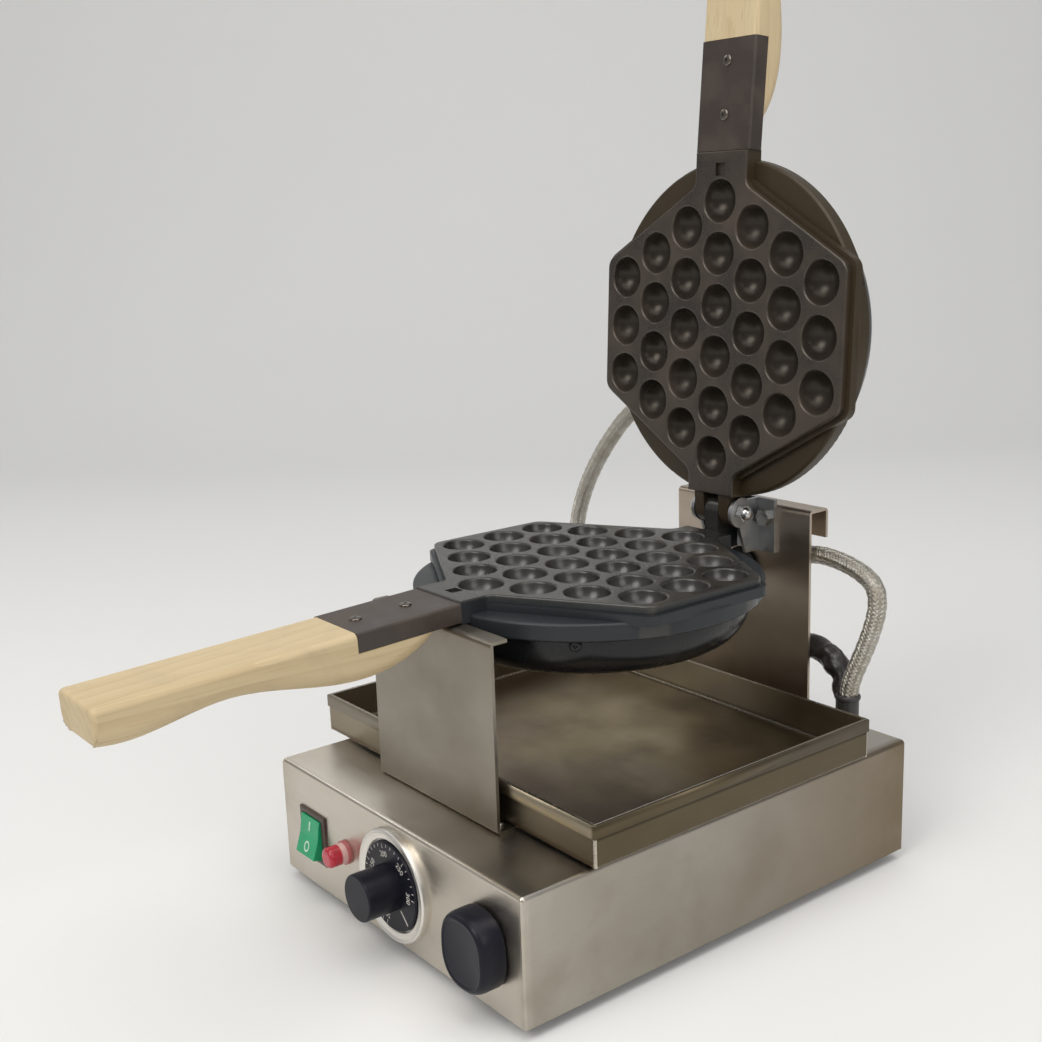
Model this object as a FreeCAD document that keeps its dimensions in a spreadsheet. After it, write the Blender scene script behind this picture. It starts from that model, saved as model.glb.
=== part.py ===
import FreeCAD, Part
import math
import os
import re
import Sketcher

# Driving dimensions, lengths in millimetres and angles in degrees
SIZES = {
    # folded base box, its bottom cover and feet
    "base_width": 250, "base_depth": 312, "base_height": 75, "sheet_wall": 1.2, "base_bend": 2.5,
    "return_width": 14, "bottom_thick": 1.2, "bottom_inset": 4, "overrun": 1, "fit_gap": 0.2,
    "foot_height": 6, "foot_radius": 10, "foot_inset": 26, "foot_round": 1.5, "foot_recess": 3,
    "screw_head_radius": 3.5, "screw_head_height": 2.2, "screw_radius": 2, "screw_length": 6,
    "vent_length": 60, "vent_width": 4, "vent_pitch": 12, "vent_height": 40, "vent_side": 40,
    # front and rear supports
    "support_width": 120, "support_thick": 2, "support_bend": 3, "support_foot": 34,
    "front_support_y": 121.5, "front_flange": 11.5, "rear_support_y": 138, "rear_support_height": 143,
    "rear_flange": 18, "rear_lip": 20, "hose_hole_x": 2.5, "hose_hole_z": 96, "hose_hole_radius": 12,
    "screw_side": 52, "screw_gap": 6.5,
    # drip tray
    "tray_width": 271, "tray_depth": 223.5, "tray_shift_x": 5.5, "tray_shift_y": 1.2, "tray_height": 25,
    "tray_wall": 1.2, "tray_hem": 2.4, "tray_hem_height": 5, "tray_corner": 2.5, "tray_lift": 0.3,
    # rocker switch
    "switch_x": 87.5, "switch_z": 34, "switch_frame_width": 30, "switch_frame_height": 33,
    "switch_frame_thick": 1.8, "switch_frame_round": 1, "switch_case_width": 25, "switch_case_height": 29.2,
    "switch_case_depth": 24, "switch_wall": 1.2, "rocker_gap": 0.4, "rocker_height": 24.8,
    "rocker_front": 4.6, "rocker_back": 2.5, "rocker_dish": 1, "rocker_angle": 13, "rocker_pivot": 1,
    "blade_width": 6.3, "blade_thick": 0.8, "blade_length": 8,
    # pilot lamp
    "lamp_x": 50, "panel_z": 36.5, "lamp_flange_radius": 7.5, "lamp_flange_thick": 2, "lamp_barrel_radius": 5,
    "lamp_barrel_length": 20, "lamp_lens_radius": 6.5, "lamp_lens_length": 12, "lamp_lens_round": 2.5,
    # thermostat behind its bezel and dial
    "thermostat_x": 5, "bezel_radius": 34, "bezel_thick": 1.2, "bezel_rim": 3, "bezel_rim_height": 4,
    "bezel_round": 1.2, "bezel_step": 2.2, "bezel_step_height": 2.4,
    "bezel_step_round": 0.8, "bush_radius": 5, "bush_length": 7, "shaft_radius": 3, "shaft_clear": 0.05,
    "shaft_bite": 12, "thermostat_width": 44, "thermostat_height": 36, "thermostat_depth": 28,
    "dial_radius": 27, "dial_thick": 2, "dial_gap": 0.8, "dial_bevel": 0.8, "dial_grip_radius": 14,
    "dial_grip_length": 22, "dial_grip_round": 1.2,
    # timer and its knob
    "timer_x": 93, "timer_width": 46, "timer_height": 46, "timer_depth": 34, "timer_skirt_radius": 23,
    "timer_skirt_thick": 6, "timer_skirt_round": 2, "timer_bar_width": 42, "timer_bar_length": 51,
    "timer_bar_height": 11, "timer_bar_round": 5,
    # wiring inside the base, glands on it
    "block_width": 60, "block_depth": 22, "block_height": 18, "block_x": 80.5, "block_y": 100,
    "block_ways": 4,
    "block_well_radius": 3, "block_well_depth": 6, "gland_radius": 7, "gland_bite": 8,
    "gland_nut_flats": 17, "gland_nut_height": 6, "lower_gland_x": 98.8, "lower_gland_y": 131.5,
    "lower_gland_height": 28.6, "upper_gland_x": 86, "upper_gland_y": 146.2, "upper_gland_height": 22,
    "mains_x": 85, "mains_z": 30, "mains_radius": 8, "mains_flats": 22, "mains_collar": 6,
    "mains_cap_length": 12, "mains_cap_radius": 10, "mains_bore_radius": 4.5, "mains_cap_round": 3,
    # cup plates, the same casting above and below but for the hinge
    "plate_rise": 126.5, "parting_gap": 0.4, "cup_pitch": 33, "cup_radius": 13.5, "cup_depth": 12.2,
    "land_margin": 19, "land_height": 9, "land_corner": 9, "land_edge": 1.2, "step_margin": 3,
    "step_height": 4, "flange_radius": 109, "flange_thick": 11, "flange_edge": 2, "spigot_height": 8,
    "spigot_width": 5, "neck_width": 44, "neck_thick": 13.5, "neck_end": 113.4, "neck_inner": 70,
    "neck_root": 8, "recess_size": 8, "recess_depth": 2, "recess_y": 102, "tang_length": 36,
    "tang_thick": 6,
    # hinge
    "hinge_reach": 118.6, "pin_rise": 12.3, "pin_radius": 3, "pin_clear": 0.05, "knuckle_radius": 9.5,
    "hinge_width": 30, "rear_neck_width": 40, "hinge_block_end": 107, "tongue_width": 12,
    "tongue_gap": 0.6, "tongue_inner": 95,
    "open_angle": 93, "ear_thick": 2.5, "ear_gap": 0.6, "ear_radius": 10, "bracket_width": 64,
    "bracket_drop": 28, "bracket_rise": 8, "bracket_bolt_x": 24.5, "bolt_drop": 4.5, "bolt_radius": 3,
    "bolt_flats": 10, "bolt_head": 4, "bolt_tail": 3, "acorn_flats": 10, "acorn_nut": 3.8,
    "acorn_radius": 4.5,
    "acorn_dome": 4.4, "acorn_round": 4.1,
    # heater cover below each plate, its heater and hose socket
    "cover_radius": 100, "cover_depth": 27, "cover_wall": 1.5, "cover_round": 22, "heater_ring": 68,
    "heater_tube": 4, "heater_gap": 0.3, "heater_sweep": 330, "heater_tail": 14, "cover_screw_angle": 45,
    "cover_screw_drop": 4, "cover_screw_radius": 2, "cover_screw_bite": 5, "cover_head_radius": 3.5,
    "cover_head_height": 2, "socket_drop": 11, "socket_radius": 7, "socket_inner": 90,
    "socket_outer": 110, "socket_collar_radius": 9, "socket_collar": 5, "lower_socket_angle": 90,
    "upper_socket_angle": 30,
    # handle: steel channel, wooden grip and its two screws
    "handle_drop": 1, "handle_tilt": 2.2, "channel_width": 46, "channel_length": 68, "channel_wall": 1.5,
    "channel_side": 11, "channel_gap": 0.2, "grip_start": 124, "grip_end": 328, "grip_edge": 3.5,
    "grip_under": 9, "grip_nose": 8, "grip_belly": 28.5, "grip_waist": 17, "grip_butt": 22.5,
    "rivet_first": 22, "rivet_second": 55, "rivet_radius": 2.5, "rivet_head": 3.6, "rivet_dome": 1.2,
    "rivet_depth": 15, "dome_share": 0.8,
    "grip_length_share": 0.9,
    # braided hoses
    "hose_radius": 6, "hose_bite": 10, "hose_cut_share": 0.45,
    # how near an edge lies to a level that it is picked by, and how near to its full length it runs
    "edge_slack": 0.01, "length_slack": 1, "uncut_share": 0.999999,
}

doc = FreeCAD.newDocument("bubble_waffle_maker")
sheet = doc.addObject("Spreadsheet::Sheet", "dims")
for row, (alias, number) in enumerate(SIZES.items(), start=1):
    sheet.set(f"A{row}", alias)
    sheet.set(f"B{row}", str(number))
    sheet.setAlias(f"B{row}", alias)
doc.recompute()

nodes = []
aliases = re.compile(r"\b(" + "|".join(sorted(SIZES, key=len, reverse=True)) + r")\b")
root_three = math.sqrt(3)


def bind(text):
    return aliases.sub(lambda found: "dims." + found.group(1), text)


def value(text):
    return float(sheet.evalExpression(bind(text)))


def vector(x, y, z):
    return FreeCAD.Vector(value(x), value(y), value(z))


def origin(body, role):
    return next(item for item in body.Origin.OriginFeatures if item.Role == role)


def new_body(label):
    body = doc.addObject("PartDesign::Body", label)
    body.Label = label
    nodes.append(body)
    return body


def sketch(body, role, offset="0"):
    made = body.newObject("Sketcher::SketchObject", body.Name + "_sketch")
    made.AttachmentSupport = [(origin(body, role + "_Plane"), "")]
    made.MapMode = "FlatFace"
    made.setExpression("AttachmentOffset.Base.z", bind(offset))
    return made


def place_point(made, geometry, point, x, y):
    for kind, text in (("DistanceX", x), ("DistanceY", y)):
        index = made.addConstraint(Sketcher.Constraint(kind, -1, 1, geometry, point, value(text)))
        made.setExpression(f"Constraints[{index}]", bind(text))


def circle(made, x, y, radius):
    shape = Part.Circle(FreeCAD.Vector(value(x), value(y), 0), FreeCAD.Vector(0, 0, 1), value(radius))
    geometry = made.addGeometry(shape)
    place_point(made, geometry, 3, x, y)
    index = made.addConstraint(Sketcher.Constraint("Radius", geometry, value(radius)))
    made.setExpression(f"Constraints[{index}]", bind(radius))


def polygon(made, points):
    corners = [FreeCAD.Vector(value(x), value(y), 0) for x, y in points]
    lines = []
    for start, end in zip(corners, corners[1:] + corners[:1]):
        lines.append(made.addGeometry(Part.LineSegment(start, end)))
    for line, following in zip(lines, lines[1:] + lines[:1]):
        made.addConstraint(Sketcher.Constraint("Coincident", line, 2, following, 1))
    for line, (x, y) in zip(lines, points):
        place_point(made, line, 1, x, y)


def rectangle(made, left, right, low, high):
    polygon(made, [(left, low), (right, low), (right, high), (left, high)])


def centred(made, x, y, width, height):
    rectangle(made, f"{x} - {width} / 2", f"{x} + {width} / 2", f"{y} - {height} / 2", f"{y} + {height} / 2")


def hexagon(made, x, y, flats):
    corners = [(math.cos(math.pi * k / 3), math.sin(math.pi * k / 3)) for k in range(6)]
    polygon(made, [(f"{x} + {flats} * {c / root_three:.6f}", f"{y} + {flats} * {s / root_three:.6f}")
                   for c, s in corners])


def pad(made, length, kind="Pad", back=False):
    body = made.getParent()
    feature = body.newObject("PartDesign::" + kind, body.Name + "_" + kind)
    feature.Profile = made
    feature.setExpression("Length", bind(length))
    feature.Reversed = back
    doc.recompute()
    return feature


def pocket(made, length, back=False):
    before = made.getParent().Tip.Shape.Volume
    feature = pad(made, length, "Pocket", back)
    if feature.Shape.Volume > before * value("uncut_share"):
        raise RuntimeError("a pocket of " + made.getParent().Label + " cuts nothing")
    return feature


def soften(feature, radius, test, kind="Fillet"):
    names = [f"Edge{i + 1}" for i, edge in enumerate(feature.Shape.Edges) if test(edge)]
    if not names:
        raise RuntimeError("no edge to soften on " + feature.Label)
    body = feature.getParent()
    made = body.newObject("PartDesign::" + kind, body.Name + "_" + kind)
    made.Base = (feature, names)
    made.setExpression("Radius" if kind == "Fillet" else "Size", bind(radius))
    doc.recompute()
    return made


def at(edge, axis, text, slack="edge_slack"):
    box = edge.BoundBox
    low, high = {"x": (box.XMin, box.XMax), "y": (box.YMin, box.YMax), "z": (box.ZMin, box.ZMax)}[axis]
    return abs(low - value(text)) < value(slack) and abs(high - value(text)) < value(slack)


def upright(edge):
    return max(edge.BoundBox.XLength, edge.BoundBox.YLength) < value("edge_slack")


def runs_along(edge, axis, text):
    box = edge.BoundBox
    length = {"x": box.XLength, "y": box.YLength, "z": box.ZLength}[axis]
    return length > value(text) - value("length_slack")


def pattern(feature, kind, axis, occurrences, span):
    body = feature.getParent()
    made = body.newObject("PartDesign::" + kind, body.Name + "_" + kind)
    made.Originals = [feature]
    setattr(made, "Direction" if kind == "LinearPattern" else "Axis", (origin(body, axis + "_Axis"), [""]))
    made.setExpression("Length" if kind == "LinearPattern" else "Angle", bind(span))
    made.Occurrences = occurrences
    body.Tip = made
    doc.recompute()
    return made


def radial(body, kind, radius, start, length, angle, height):
    feature = body.newObject(f"PartDesign::{kind}Cylinder", body.Name + "_radial")
    feature.AttachmentSupport = [(origin(body, "XY_Plane"), "")]
    feature.MapMode = "FlatFace"
    feature.setExpression("Radius", bind(radius))
    feature.setExpression("Height", bind(length))
    outward = FreeCAD.Vector(math.cos(math.radians(value(angle))), math.sin(math.radians(value(angle))), 0)
    turn = FreeCAD.Rotation(FreeCAD.Vector(0, 0, 1), outward)
    feature.AttachmentOffset = FreeCAD.Placement(outward * value(start) + vector("0", "0", height), turn)
    doc.recompute()
    return feature


# Levels and planes that several pieces share
BASE_BOTTOM = "(foot_height + bottom_thick)"
BASE_TOP = f"({BASE_BOTTOM} + base_height)"
PANEL = "(base_depth / 2)"
PARTING = f"({BASE_TOP} + plate_rise)"
FACE = f"({PARTING} - parting_gap / 2)"
LAND_BOTTOM = f"({FACE} - land_height)"
PLATE_BOTTOM = f"({LAND_BOTTOM} - flange_thick)"
NECK_BOTTOM = f"({FACE} - neck_thick)"
PIN_Z = f"({PARTING} + pin_rise)"
BOLT_Z = f"({PIN_Z} - bolt_drop)"
BRACKET_FACE = "(rear_support_y - ear_thick)"
FOOT_X = "(base_width / 2 - foot_inset)"
FOOT_Y = "(base_depth / 2 - foot_inset)"
TRAY_FLOOR = f"({BASE_TOP} + support_thick + tray_lift)"
FRONT_SCREW_Y = "(front_support_y - screw_gap)"
REAR_SCREW_Y = "(rear_support_y - screw_gap - support_thick)"
DIAL_BACK = f"({PANEL} + bezel_thick + dial_gap)"
SOCKET_Z = f"({PLATE_BOTTOM} - socket_drop)"
COVER_SCREW_Z = f"({PLATE_BOTTOM} - cover_screw_drop)"
corners = [(side_x, side_y) for side_x in (-1, 1) for side_y in (-1, 1)]


def base_housing():
    body = new_body("base_housing")
    outline = sketch(body, "XY", BASE_BOTTOM)
    centred(outline, "0", "0", "base_width", "base_depth")
    block = pad(outline, "base_height")
    # folded front, top and sides, open below and at the rear
    soften(block, "base_bend", lambda edge: not at(edge, "y", PANEL)
           and (upright(edge) or at(edge, "z", BASE_TOP)))
    inside = sketch(body, "XY", BASE_BOTTOM)
    half = "(base_width / 2 - sheet_wall)"
    rectangle(inside, "-" + half, half, f"-{PANEL} + sheet_wall", f"{PANEL} + overrun")
    pocket(inside, "base_height - sheet_wall", back=True)
    # return flange that the bottom cover is fixed to
    lip = sketch(body, "XY", BASE_BOTTOM)
    centred(lip, "0", "0", "(base_width - sheet_wall)", "(base_depth - sheet_wall * 2)")
    centred(lip, "0", "0", "(base_width - return_width * 2)", "(base_depth - return_width * 2)")
    pad(lip, "sheet_wall")
    # cut-outs of the control panel
    panel = sketch(body, "XZ", PANEL + " + overrun")
    centred(panel, "-switch_x", f"{BASE_BOTTOM} + switch_z", "(switch_case_width + fit_gap * 2)",
            "(switch_case_height + fit_gap * 2)")
    circle(panel, "-lamp_x", f"{BASE_BOTTOM} + panel_z", "lamp_barrel_radius + fit_gap")
    for place in ("thermostat_x", "timer_x"):
        circle(panel, place, f"{BASE_BOTTOM} + panel_z", "bush_radius + fit_gap")
    pocket(panel, "sheet_wall + overrun * 2")
    # holes in the top for the hose glands and the support screws
    top = sketch(body, "XY", BASE_TOP + " + overrun")
    for name in ("lower_gland", "upper_gland"):
        circle(top, name + "_x", name + "_y", "gland_radius + fit_gap")
    for side in (-1, 1):
        circle(top, f"screw_side * {side}", "-" + FRONT_SCREW_Y, "screw_radius + fit_gap")
        circle(top, f"screw_side * {side}", REAR_SCREW_Y, "screw_radius + fit_gap")
    pocket(top, "sheet_wall + overrun * 2")


def rear_panel():
    body = new_body("rear_panel")
    half = "(base_width / 2 - sheet_wall)"
    outline = sketch(body, "XZ", f"-{PANEL} + sheet_wall")
    rectangle(outline, "-" + half, half, BASE_BOTTOM, f"{BASE_TOP} - sheet_wall")
    pad(outline, "sheet_wall", back=True)
    # mains gland hole and vents
    cuts = sketch(body, "XZ", "-" + PANEL + " - overrun")
    circle(cuts, "-mains_x", f"{BASE_BOTTOM} + mains_z", "mains_radius + fit_gap")
    for step in range(3):
        centred(cuts, "vent_side", f"{BASE_BOTTOM} + vent_height - vent_pitch * {step}", "vent_length",
                "vent_width")
    pocket(cuts, "sheet_wall + overrun * 2", back=True)


def bottom_cover():
    body = new_body("bottom_cover")
    outline = sketch(body, "XY", "foot_height")
    centred(outline, "0", "0", "(base_width - bottom_inset * 2)", "(base_depth - bottom_inset * 2)")
    pad(outline, "bottom_thick")
    cuts = sketch(body, "XY", BASE_BOTTOM + " + overrun")
    for side_x, side_y in corners:
        circle(cuts, f"{FOOT_X} * {side_x}", f"{FOOT_Y} * {side_y}", "screw_radius + fit_gap")
    for step in range(-3, 4):
        centred(cuts, "0", f"vent_pitch * {step}", "vent_length", "vent_width")
    pocket(cuts, "bottom_thick + overrun * 2")


def rubber_feet():
    body = new_body("rubber_feet")
    outline = sketch(body, "XY")
    for side_x, side_y in corners:
        circle(outline, f"{FOOT_X} * {side_x}", f"{FOOT_Y} * {side_y}", "foot_radius")
    feet = pad(outline, "foot_height")
    soften(feet, "foot_round", lambda edge: at(edge, "z", "0"))
    recess = sketch(body, "XY")
    bore = sketch(body, "XY")
    for side_x, side_y in corners:
        circle(recess, f"{FOOT_X} * {side_x}", f"{FOOT_Y} * {side_y}", "screw_head_radius + fit_gap")
        circle(bore, f"{FOOT_X} * {side_x}", f"{FOOT_Y} * {side_y}", "screw_radius + fit_gap")
    pocket(recess, "foot_recess", back=True)
    pocket(bore, "foot_height + overrun", back=True)


def screw_group(label, places, seat, head_up):
    body = new_body(label)
    heads = sketch(body, "XY", seat)
    shanks = sketch(body, "XY", seat)
    for x, y in places:
        circle(heads, x, y, "screw_head_radius")
        circle(shanks, x, y, "screw_radius")
    pad(heads, "screw_head_height", back=not head_up)
    pad(shanks, "screw_length", back=head_up)


def front_support():
    body = new_body("front_support")
    profile = sketch(body, "YZ", "-support_width / 2")
    front = "-front_support_y"
    top = f"{NECK_BOTTOM} - fit_gap"
    polygon(profile, [
        (front, BASE_TOP), (front, top), (f"{front} + front_flange", top),
        (f"{front} + front_flange", f"{top} - support_thick"),
        (f"{front} + support_thick", f"{top} - support_thick"),
        (f"{front} + support_thick", f"{BASE_TOP} + support_thick"),
        (f"{front} + support_foot", f"{BASE_TOP} + support_thick"), (f"{front} + support_foot", BASE_TOP)])
    sheet_part = pad(profile, "support_width")
    soften(sheet_part, "support_bend", lambda edge: runs_along(edge, "x", "support_width")
           and at(edge, "y", front))
    holes = sketch(body, "XY", f"{BASE_TOP} + support_thick + overrun")
    for side in (-1, 1):
        circle(holes, f"screw_side * {side}", "-" + FRONT_SCREW_Y, "screw_radius + fit_gap")
    pocket(holes, "support_thick + overrun * 2")


def rear_support():
    body = new_body("rear_support")
    profile = sketch(body, "YZ", "-support_width / 2")
    face = "rear_support_y"
    top = f"{BASE_TOP} + rear_support_height"
    back = f"{face} + rear_flange"
    polygon(profile, [
        (f"{face} - support_foot", BASE_TOP), (f"{face} + support_thick", BASE_TOP),
        (f"{face} + support_thick", f"{top} - support_thick"),
        (f"{back} - support_thick", f"{top} - support_thick"),
        (f"{back} - support_thick", f"{top} - rear_lip"), (back, f"{top} - rear_lip"), (back, top),
        (face, top),
        (face, f"{BASE_TOP} + support_thick"), (f"{face} - support_foot", f"{BASE_TOP} + support_thick")])
    sheet_part = pad(profile, "support_width")
    soften(sheet_part, "support_bend", lambda edge: runs_along(edge, "x", "support_width")
           and (at(edge, "z", top) or at(edge, "y", f"{face} + support_thick") and at(edge, "z", BASE_TOP)))
    holes = sketch(body, "XZ", f"-{face} + overrun")
    circle(holes, "hose_hole_x", f"{BASE_TOP} + hose_hole_z", "hose_hole_radius")
    for side in (-1, 1):
        circle(holes, f"bracket_bolt_x * {side}", BOLT_Z, "bolt_radius + fit_gap")
    pocket(holes, "support_thick + overrun * 2")
    screws = sketch(body, "XY", f"{BASE_TOP} + support_thick + overrun")
    for side in (-1, 1):
        circle(screws, f"screw_side * {side}", REAR_SCREW_Y, "screw_radius + fit_gap")
    pocket(screws, "support_thick + overrun * 2")


def drip_tray():
    body = new_body("drip_tray")
    outline = sketch(body, "XY", TRAY_FLOOR)
    centred(outline, "-tray_shift_x", "tray_shift_y", "tray_width", "tray_depth")
    block = pad(outline, "tray_height")
    soften(block, "tray_corner", lambda edge: upright(edge) or at(edge, "z", TRAY_FLOOR))
    mouth = sketch(body, "XY", f"{TRAY_FLOOR} + tray_wall")
    centred(mouth, "-tray_shift_x", "tray_shift_y", "(tray_width - tray_hem * 2)",
            "(tray_depth - tray_hem * 2)")
    pocket(mouth, "tray_height", back=True)
    hollow = sketch(body, "XY", f"{TRAY_FLOOR} + tray_corner")
    centred(hollow, "-tray_shift_x", "tray_shift_y", "(tray_width - tray_wall * 2)",
            "(tray_depth - tray_wall * 2)")
    pocket(hollow, "tray_height - tray_corner - tray_hem_height", back=True)


def switch_body():
    body = new_body("switch_body")
    height = f"{BASE_BOTTOM} + switch_z"
    frame = sketch(body, "XZ", PANEL)
    centred(frame, "-switch_x", height, "switch_frame_width", "switch_frame_height")
    front = pad(frame, "switch_frame_thick")
    soften(front, "switch_frame_round", lambda edge: at(edge, "y", f"-{PANEL} - switch_frame_thick"))
    case = sketch(body, "XZ", PANEL)
    centred(case, "-switch_x", height, "switch_case_width", "switch_case_height")
    pad(case, "switch_case_depth", back=True)
    well = sketch(body, "XZ", f"{PANEL} + switch_frame_thick")
    centred(well, "-switch_x", height, "(switch_case_width - switch_wall * 2)",
            "(switch_case_height - switch_wall * 2)")
    pocket(well, "switch_frame_thick + switch_case_depth / 2")
    blades = sketch(body, "XZ", f"{PANEL} - switch_case_depth")
    for side_x, side_z in corners:
        centred(blades, f"-switch_x + switch_case_width / 4 * {side_x}",
                f"{height} + switch_case_height / 4 * {side_z}", "blade_width", "blade_thick")
    pad(blades, "blade_length", back=True)


def switch_rocker():
    body = new_body("switch_rocker")
    half_width = "(switch_case_width / 2 - switch_wall - rocker_gap)"
    pivot_y = f"-{PANEL} - rocker_pivot"
    pivot_z = f"{BASE_BOTTOM} + switch_z"
    profile = sketch(body, "YZ", f"-switch_x - {half_width}")
    polygon(profile, [
        (f"{pivot_y} - rocker_front", f"{pivot_z} - rocker_height / 2"),
        (f"{pivot_y} + rocker_back", f"{pivot_z} - rocker_height / 2"),
        (f"{pivot_y} + rocker_back", f"{pivot_z} + rocker_height / 2"),
        (f"{pivot_y} - rocker_front", f"{pivot_z} + rocker_height / 2"),
        (f"{pivot_y} - rocker_front + rocker_dish", pivot_z)])
    pad(profile, half_width + " * 2")
    body.Placement = FreeCAD.Placement(
        FreeCAD.Vector(), FreeCAD.Rotation(FreeCAD.Vector(1, 0, 0), -value("rocker_angle")),
        vector("0", pivot_y, pivot_z))


def pilot_lamp():
    height = f"{BASE_BOTTOM} + panel_z"
    body = new_body("lamp_holder")
    flange = sketch(body, "XZ", PANEL)
    circle(flange, "-lamp_x", height, "lamp_flange_radius")
    pad(flange, "lamp_flange_thick")
    barrel = sketch(body, "XZ", PANEL)
    circle(barrel, "-lamp_x", height, "lamp_barrel_radius")
    pad(barrel, "lamp_barrel_length", back=True)
    lens = new_body("lamp_lens")
    outline = sketch(lens, "XZ", f"{PANEL} + lamp_flange_thick")
    circle(outline, "-lamp_x", height, "lamp_lens_radius")
    dome = pad(outline, "lamp_lens_length")
    soften(dome, "lamp_lens_round", lambda edge: at(
        edge, "y", f"-{PANEL} - lamp_flange_thick - lamp_lens_length"))


def control_body(label, place, width, height, depth):
    body = new_body(label)
    level = f"{BASE_BOTTOM} + panel_z"
    case = sketch(body, "XZ", f"{PANEL} - sheet_wall")
    centred(case, place, level, width, height)
    pad(case, depth, back=True)
    bush = sketch(body, "XZ", f"{PANEL} - sheet_wall")
    circle(bush, place, level, "bush_radius")
    pad(bush, "bush_length - shaft_bite / 2")
    bore = sketch(body, "XZ", f"{PANEL} + bush_length")
    circle(bore, place, level, "shaft_radius + shaft_clear")
    pocket(bore, "bush_length + shaft_bite")


def control_shaft(label, place, front):
    body = new_body(label)
    rod = sketch(body, "XZ", f"{PANEL} - shaft_bite + fit_gap")
    circle(rod, place, f"{BASE_BOTTOM} + panel_z", "shaft_radius")
    pad(rod, f"shaft_bite - fit_gap + {front} - {PANEL} + shaft_bite - fit_gap")


def thermostat():
    level = f"{BASE_BOTTOM} + panel_z"
    bezel = new_body("thermostat_bezel")
    disc = sketch(bezel, "XZ", PANEL)
    circle(disc, "thermostat_x", level, "bezel_radius")
    circle(disc, "thermostat_x", level, "bush_radius + fit_gap")
    pad(disc, "bezel_thick")
    rim = sketch(bezel, "XZ", PANEL)
    circle(rim, "thermostat_x", level, "bezel_radius")
    circle(rim, "thermostat_x", level, "bezel_radius - bezel_rim")
    ring = pad(rim, "bezel_rim_height")
    soften(ring, "bezel_round", lambda edge: at(edge, "y", f"-{PANEL} - bezel_rim_height"))
    step = sketch(bezel, "XZ", PANEL)
    circle(step, "thermostat_x", level, "bezel_radius - bezel_rim / 2")
    circle(step, "thermostat_x", level, "bezel_radius - bezel_rim - bezel_step")
    ring = pad(step, "bezel_step_height")
    soften(ring, "bezel_step_round", lambda edge: at(edge, "y", f"-{PANEL} - bezel_step_height")
           and edge.Curve.Radius < value("bezel_radius - bezel_rim - bezel_step / 2"))
    control_body("thermostat_body", "thermostat_x", "thermostat_width", "thermostat_height",
                 "thermostat_depth")
    control_shaft("thermostat_shaft", "thermostat_x", DIAL_BACK)
    knob = new_body("thermostat_knob")
    dial = sketch(knob, "XZ", DIAL_BACK)
    circle(dial, "thermostat_x", level, "dial_radius")
    plate = pad(dial, "dial_thick")
    soften(plate, "dial_bevel", lambda edge: at(edge, "y", f"-{DIAL_BACK} - dial_thick"), "Chamfer")
    grip = sketch(knob, "XZ", DIAL_BACK)
    circle(grip, "thermostat_x", level, "dial_grip_radius")
    post = pad(grip, "dial_thick + dial_grip_length")
    soften(post, "dial_grip_round", lambda edge: at(
        edge, "y", f"-{DIAL_BACK} - dial_thick - dial_grip_length"))
    bore = sketch(knob, "XZ", DIAL_BACK)
    circle(bore, "thermostat_x", level, "shaft_radius + shaft_clear")
    pocket(bore, "shaft_bite", back=True)


def timer():
    level = f"{BASE_BOTTOM} + panel_z"
    back = f"({PANEL} + dial_gap)"
    control_body("timer_body", "timer_x", "timer_width", "timer_height", "timer_depth")
    control_shaft("timer_shaft", "timer_x", back)
    knob = new_body("timer_knob")
    skirt = sketch(knob, "XZ", back)
    circle(skirt, "timer_x", level, "timer_skirt_radius")
    disc = pad(skirt, "timer_skirt_thick")
    soften(disc, "timer_skirt_round", lambda edge: at(edge, "y", f"-{back} - timer_skirt_thick"))
    # upright bar with round ends, made of a block between two round posts
    bar = sketch(knob, "XZ", f"{back} + timer_skirt_thick / 2")
    centred(bar, "timer_x", level, "timer_bar_width", "(timer_bar_length - timer_bar_width)")
    pad(bar, "timer_skirt_thick / 2 + timer_bar_height")
    ends = None
    for side in (-1, 1):
        post = sketch(knob, "XZ", f"{back} + timer_skirt_thick / 2")
        circle(post, "timer_x", f"{level} + (timer_bar_length - timer_bar_width) / 2 * {side}",
               "timer_bar_width / 2")
        ends = pad(post, "timer_skirt_thick / 2 + timer_bar_height")
    soften(ends, "timer_bar_round", lambda edge: at(
        edge, "y", f"-{back} - timer_skirt_thick - timer_bar_height"))
    bore = sketch(knob, "XZ", back)
    circle(bore, "timer_x", level, "shaft_radius + shaft_clear")
    pocket(bore, "shaft_bite", back=True)


def terminal_block():
    body = new_body("terminal_block")
    outline = sketch(body, "XY", BASE_BOTTOM)
    centred(outline, "block_x", "block_y", "block_width", "block_depth")
    pad(outline, "block_height")
    wells = sketch(body, "XY", f"{BASE_BOTTOM} + block_height + overrun")
    ways = int(value("block_ways"))
    for way in range(ways):
        for side in (-1, 1):
            circle(wells, f"block_x + block_width * {(2 * way + 1 - ways) / (2 * ways)}",
                   f"block_y + block_depth / 4 * {side}", "block_well_radius")
    pocket(wells, "block_well_depth + overrun")


def hose_gland(name):
    body = new_body(name + "_hose_gland")
    x, y = name + "_gland_x", name + "_gland_y"
    nut = sketch(body, "XY", BASE_TOP)
    hexagon(nut, x, y, "gland_nut_flats")
    pad(nut, "gland_nut_height")
    tube = sketch(body, "XY", f"{BASE_TOP} - gland_bite")
    circle(tube, x, y, "gland_radius")
    pad(tube, f"gland_bite + {name}_gland_height")
    bore = sketch(body, "XY", f"{BASE_TOP} + {name}_gland_height")
    circle(bore, x, y, "hose_radius + fit_gap")
    pocket(bore, "hose_bite + fit_gap")


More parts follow.
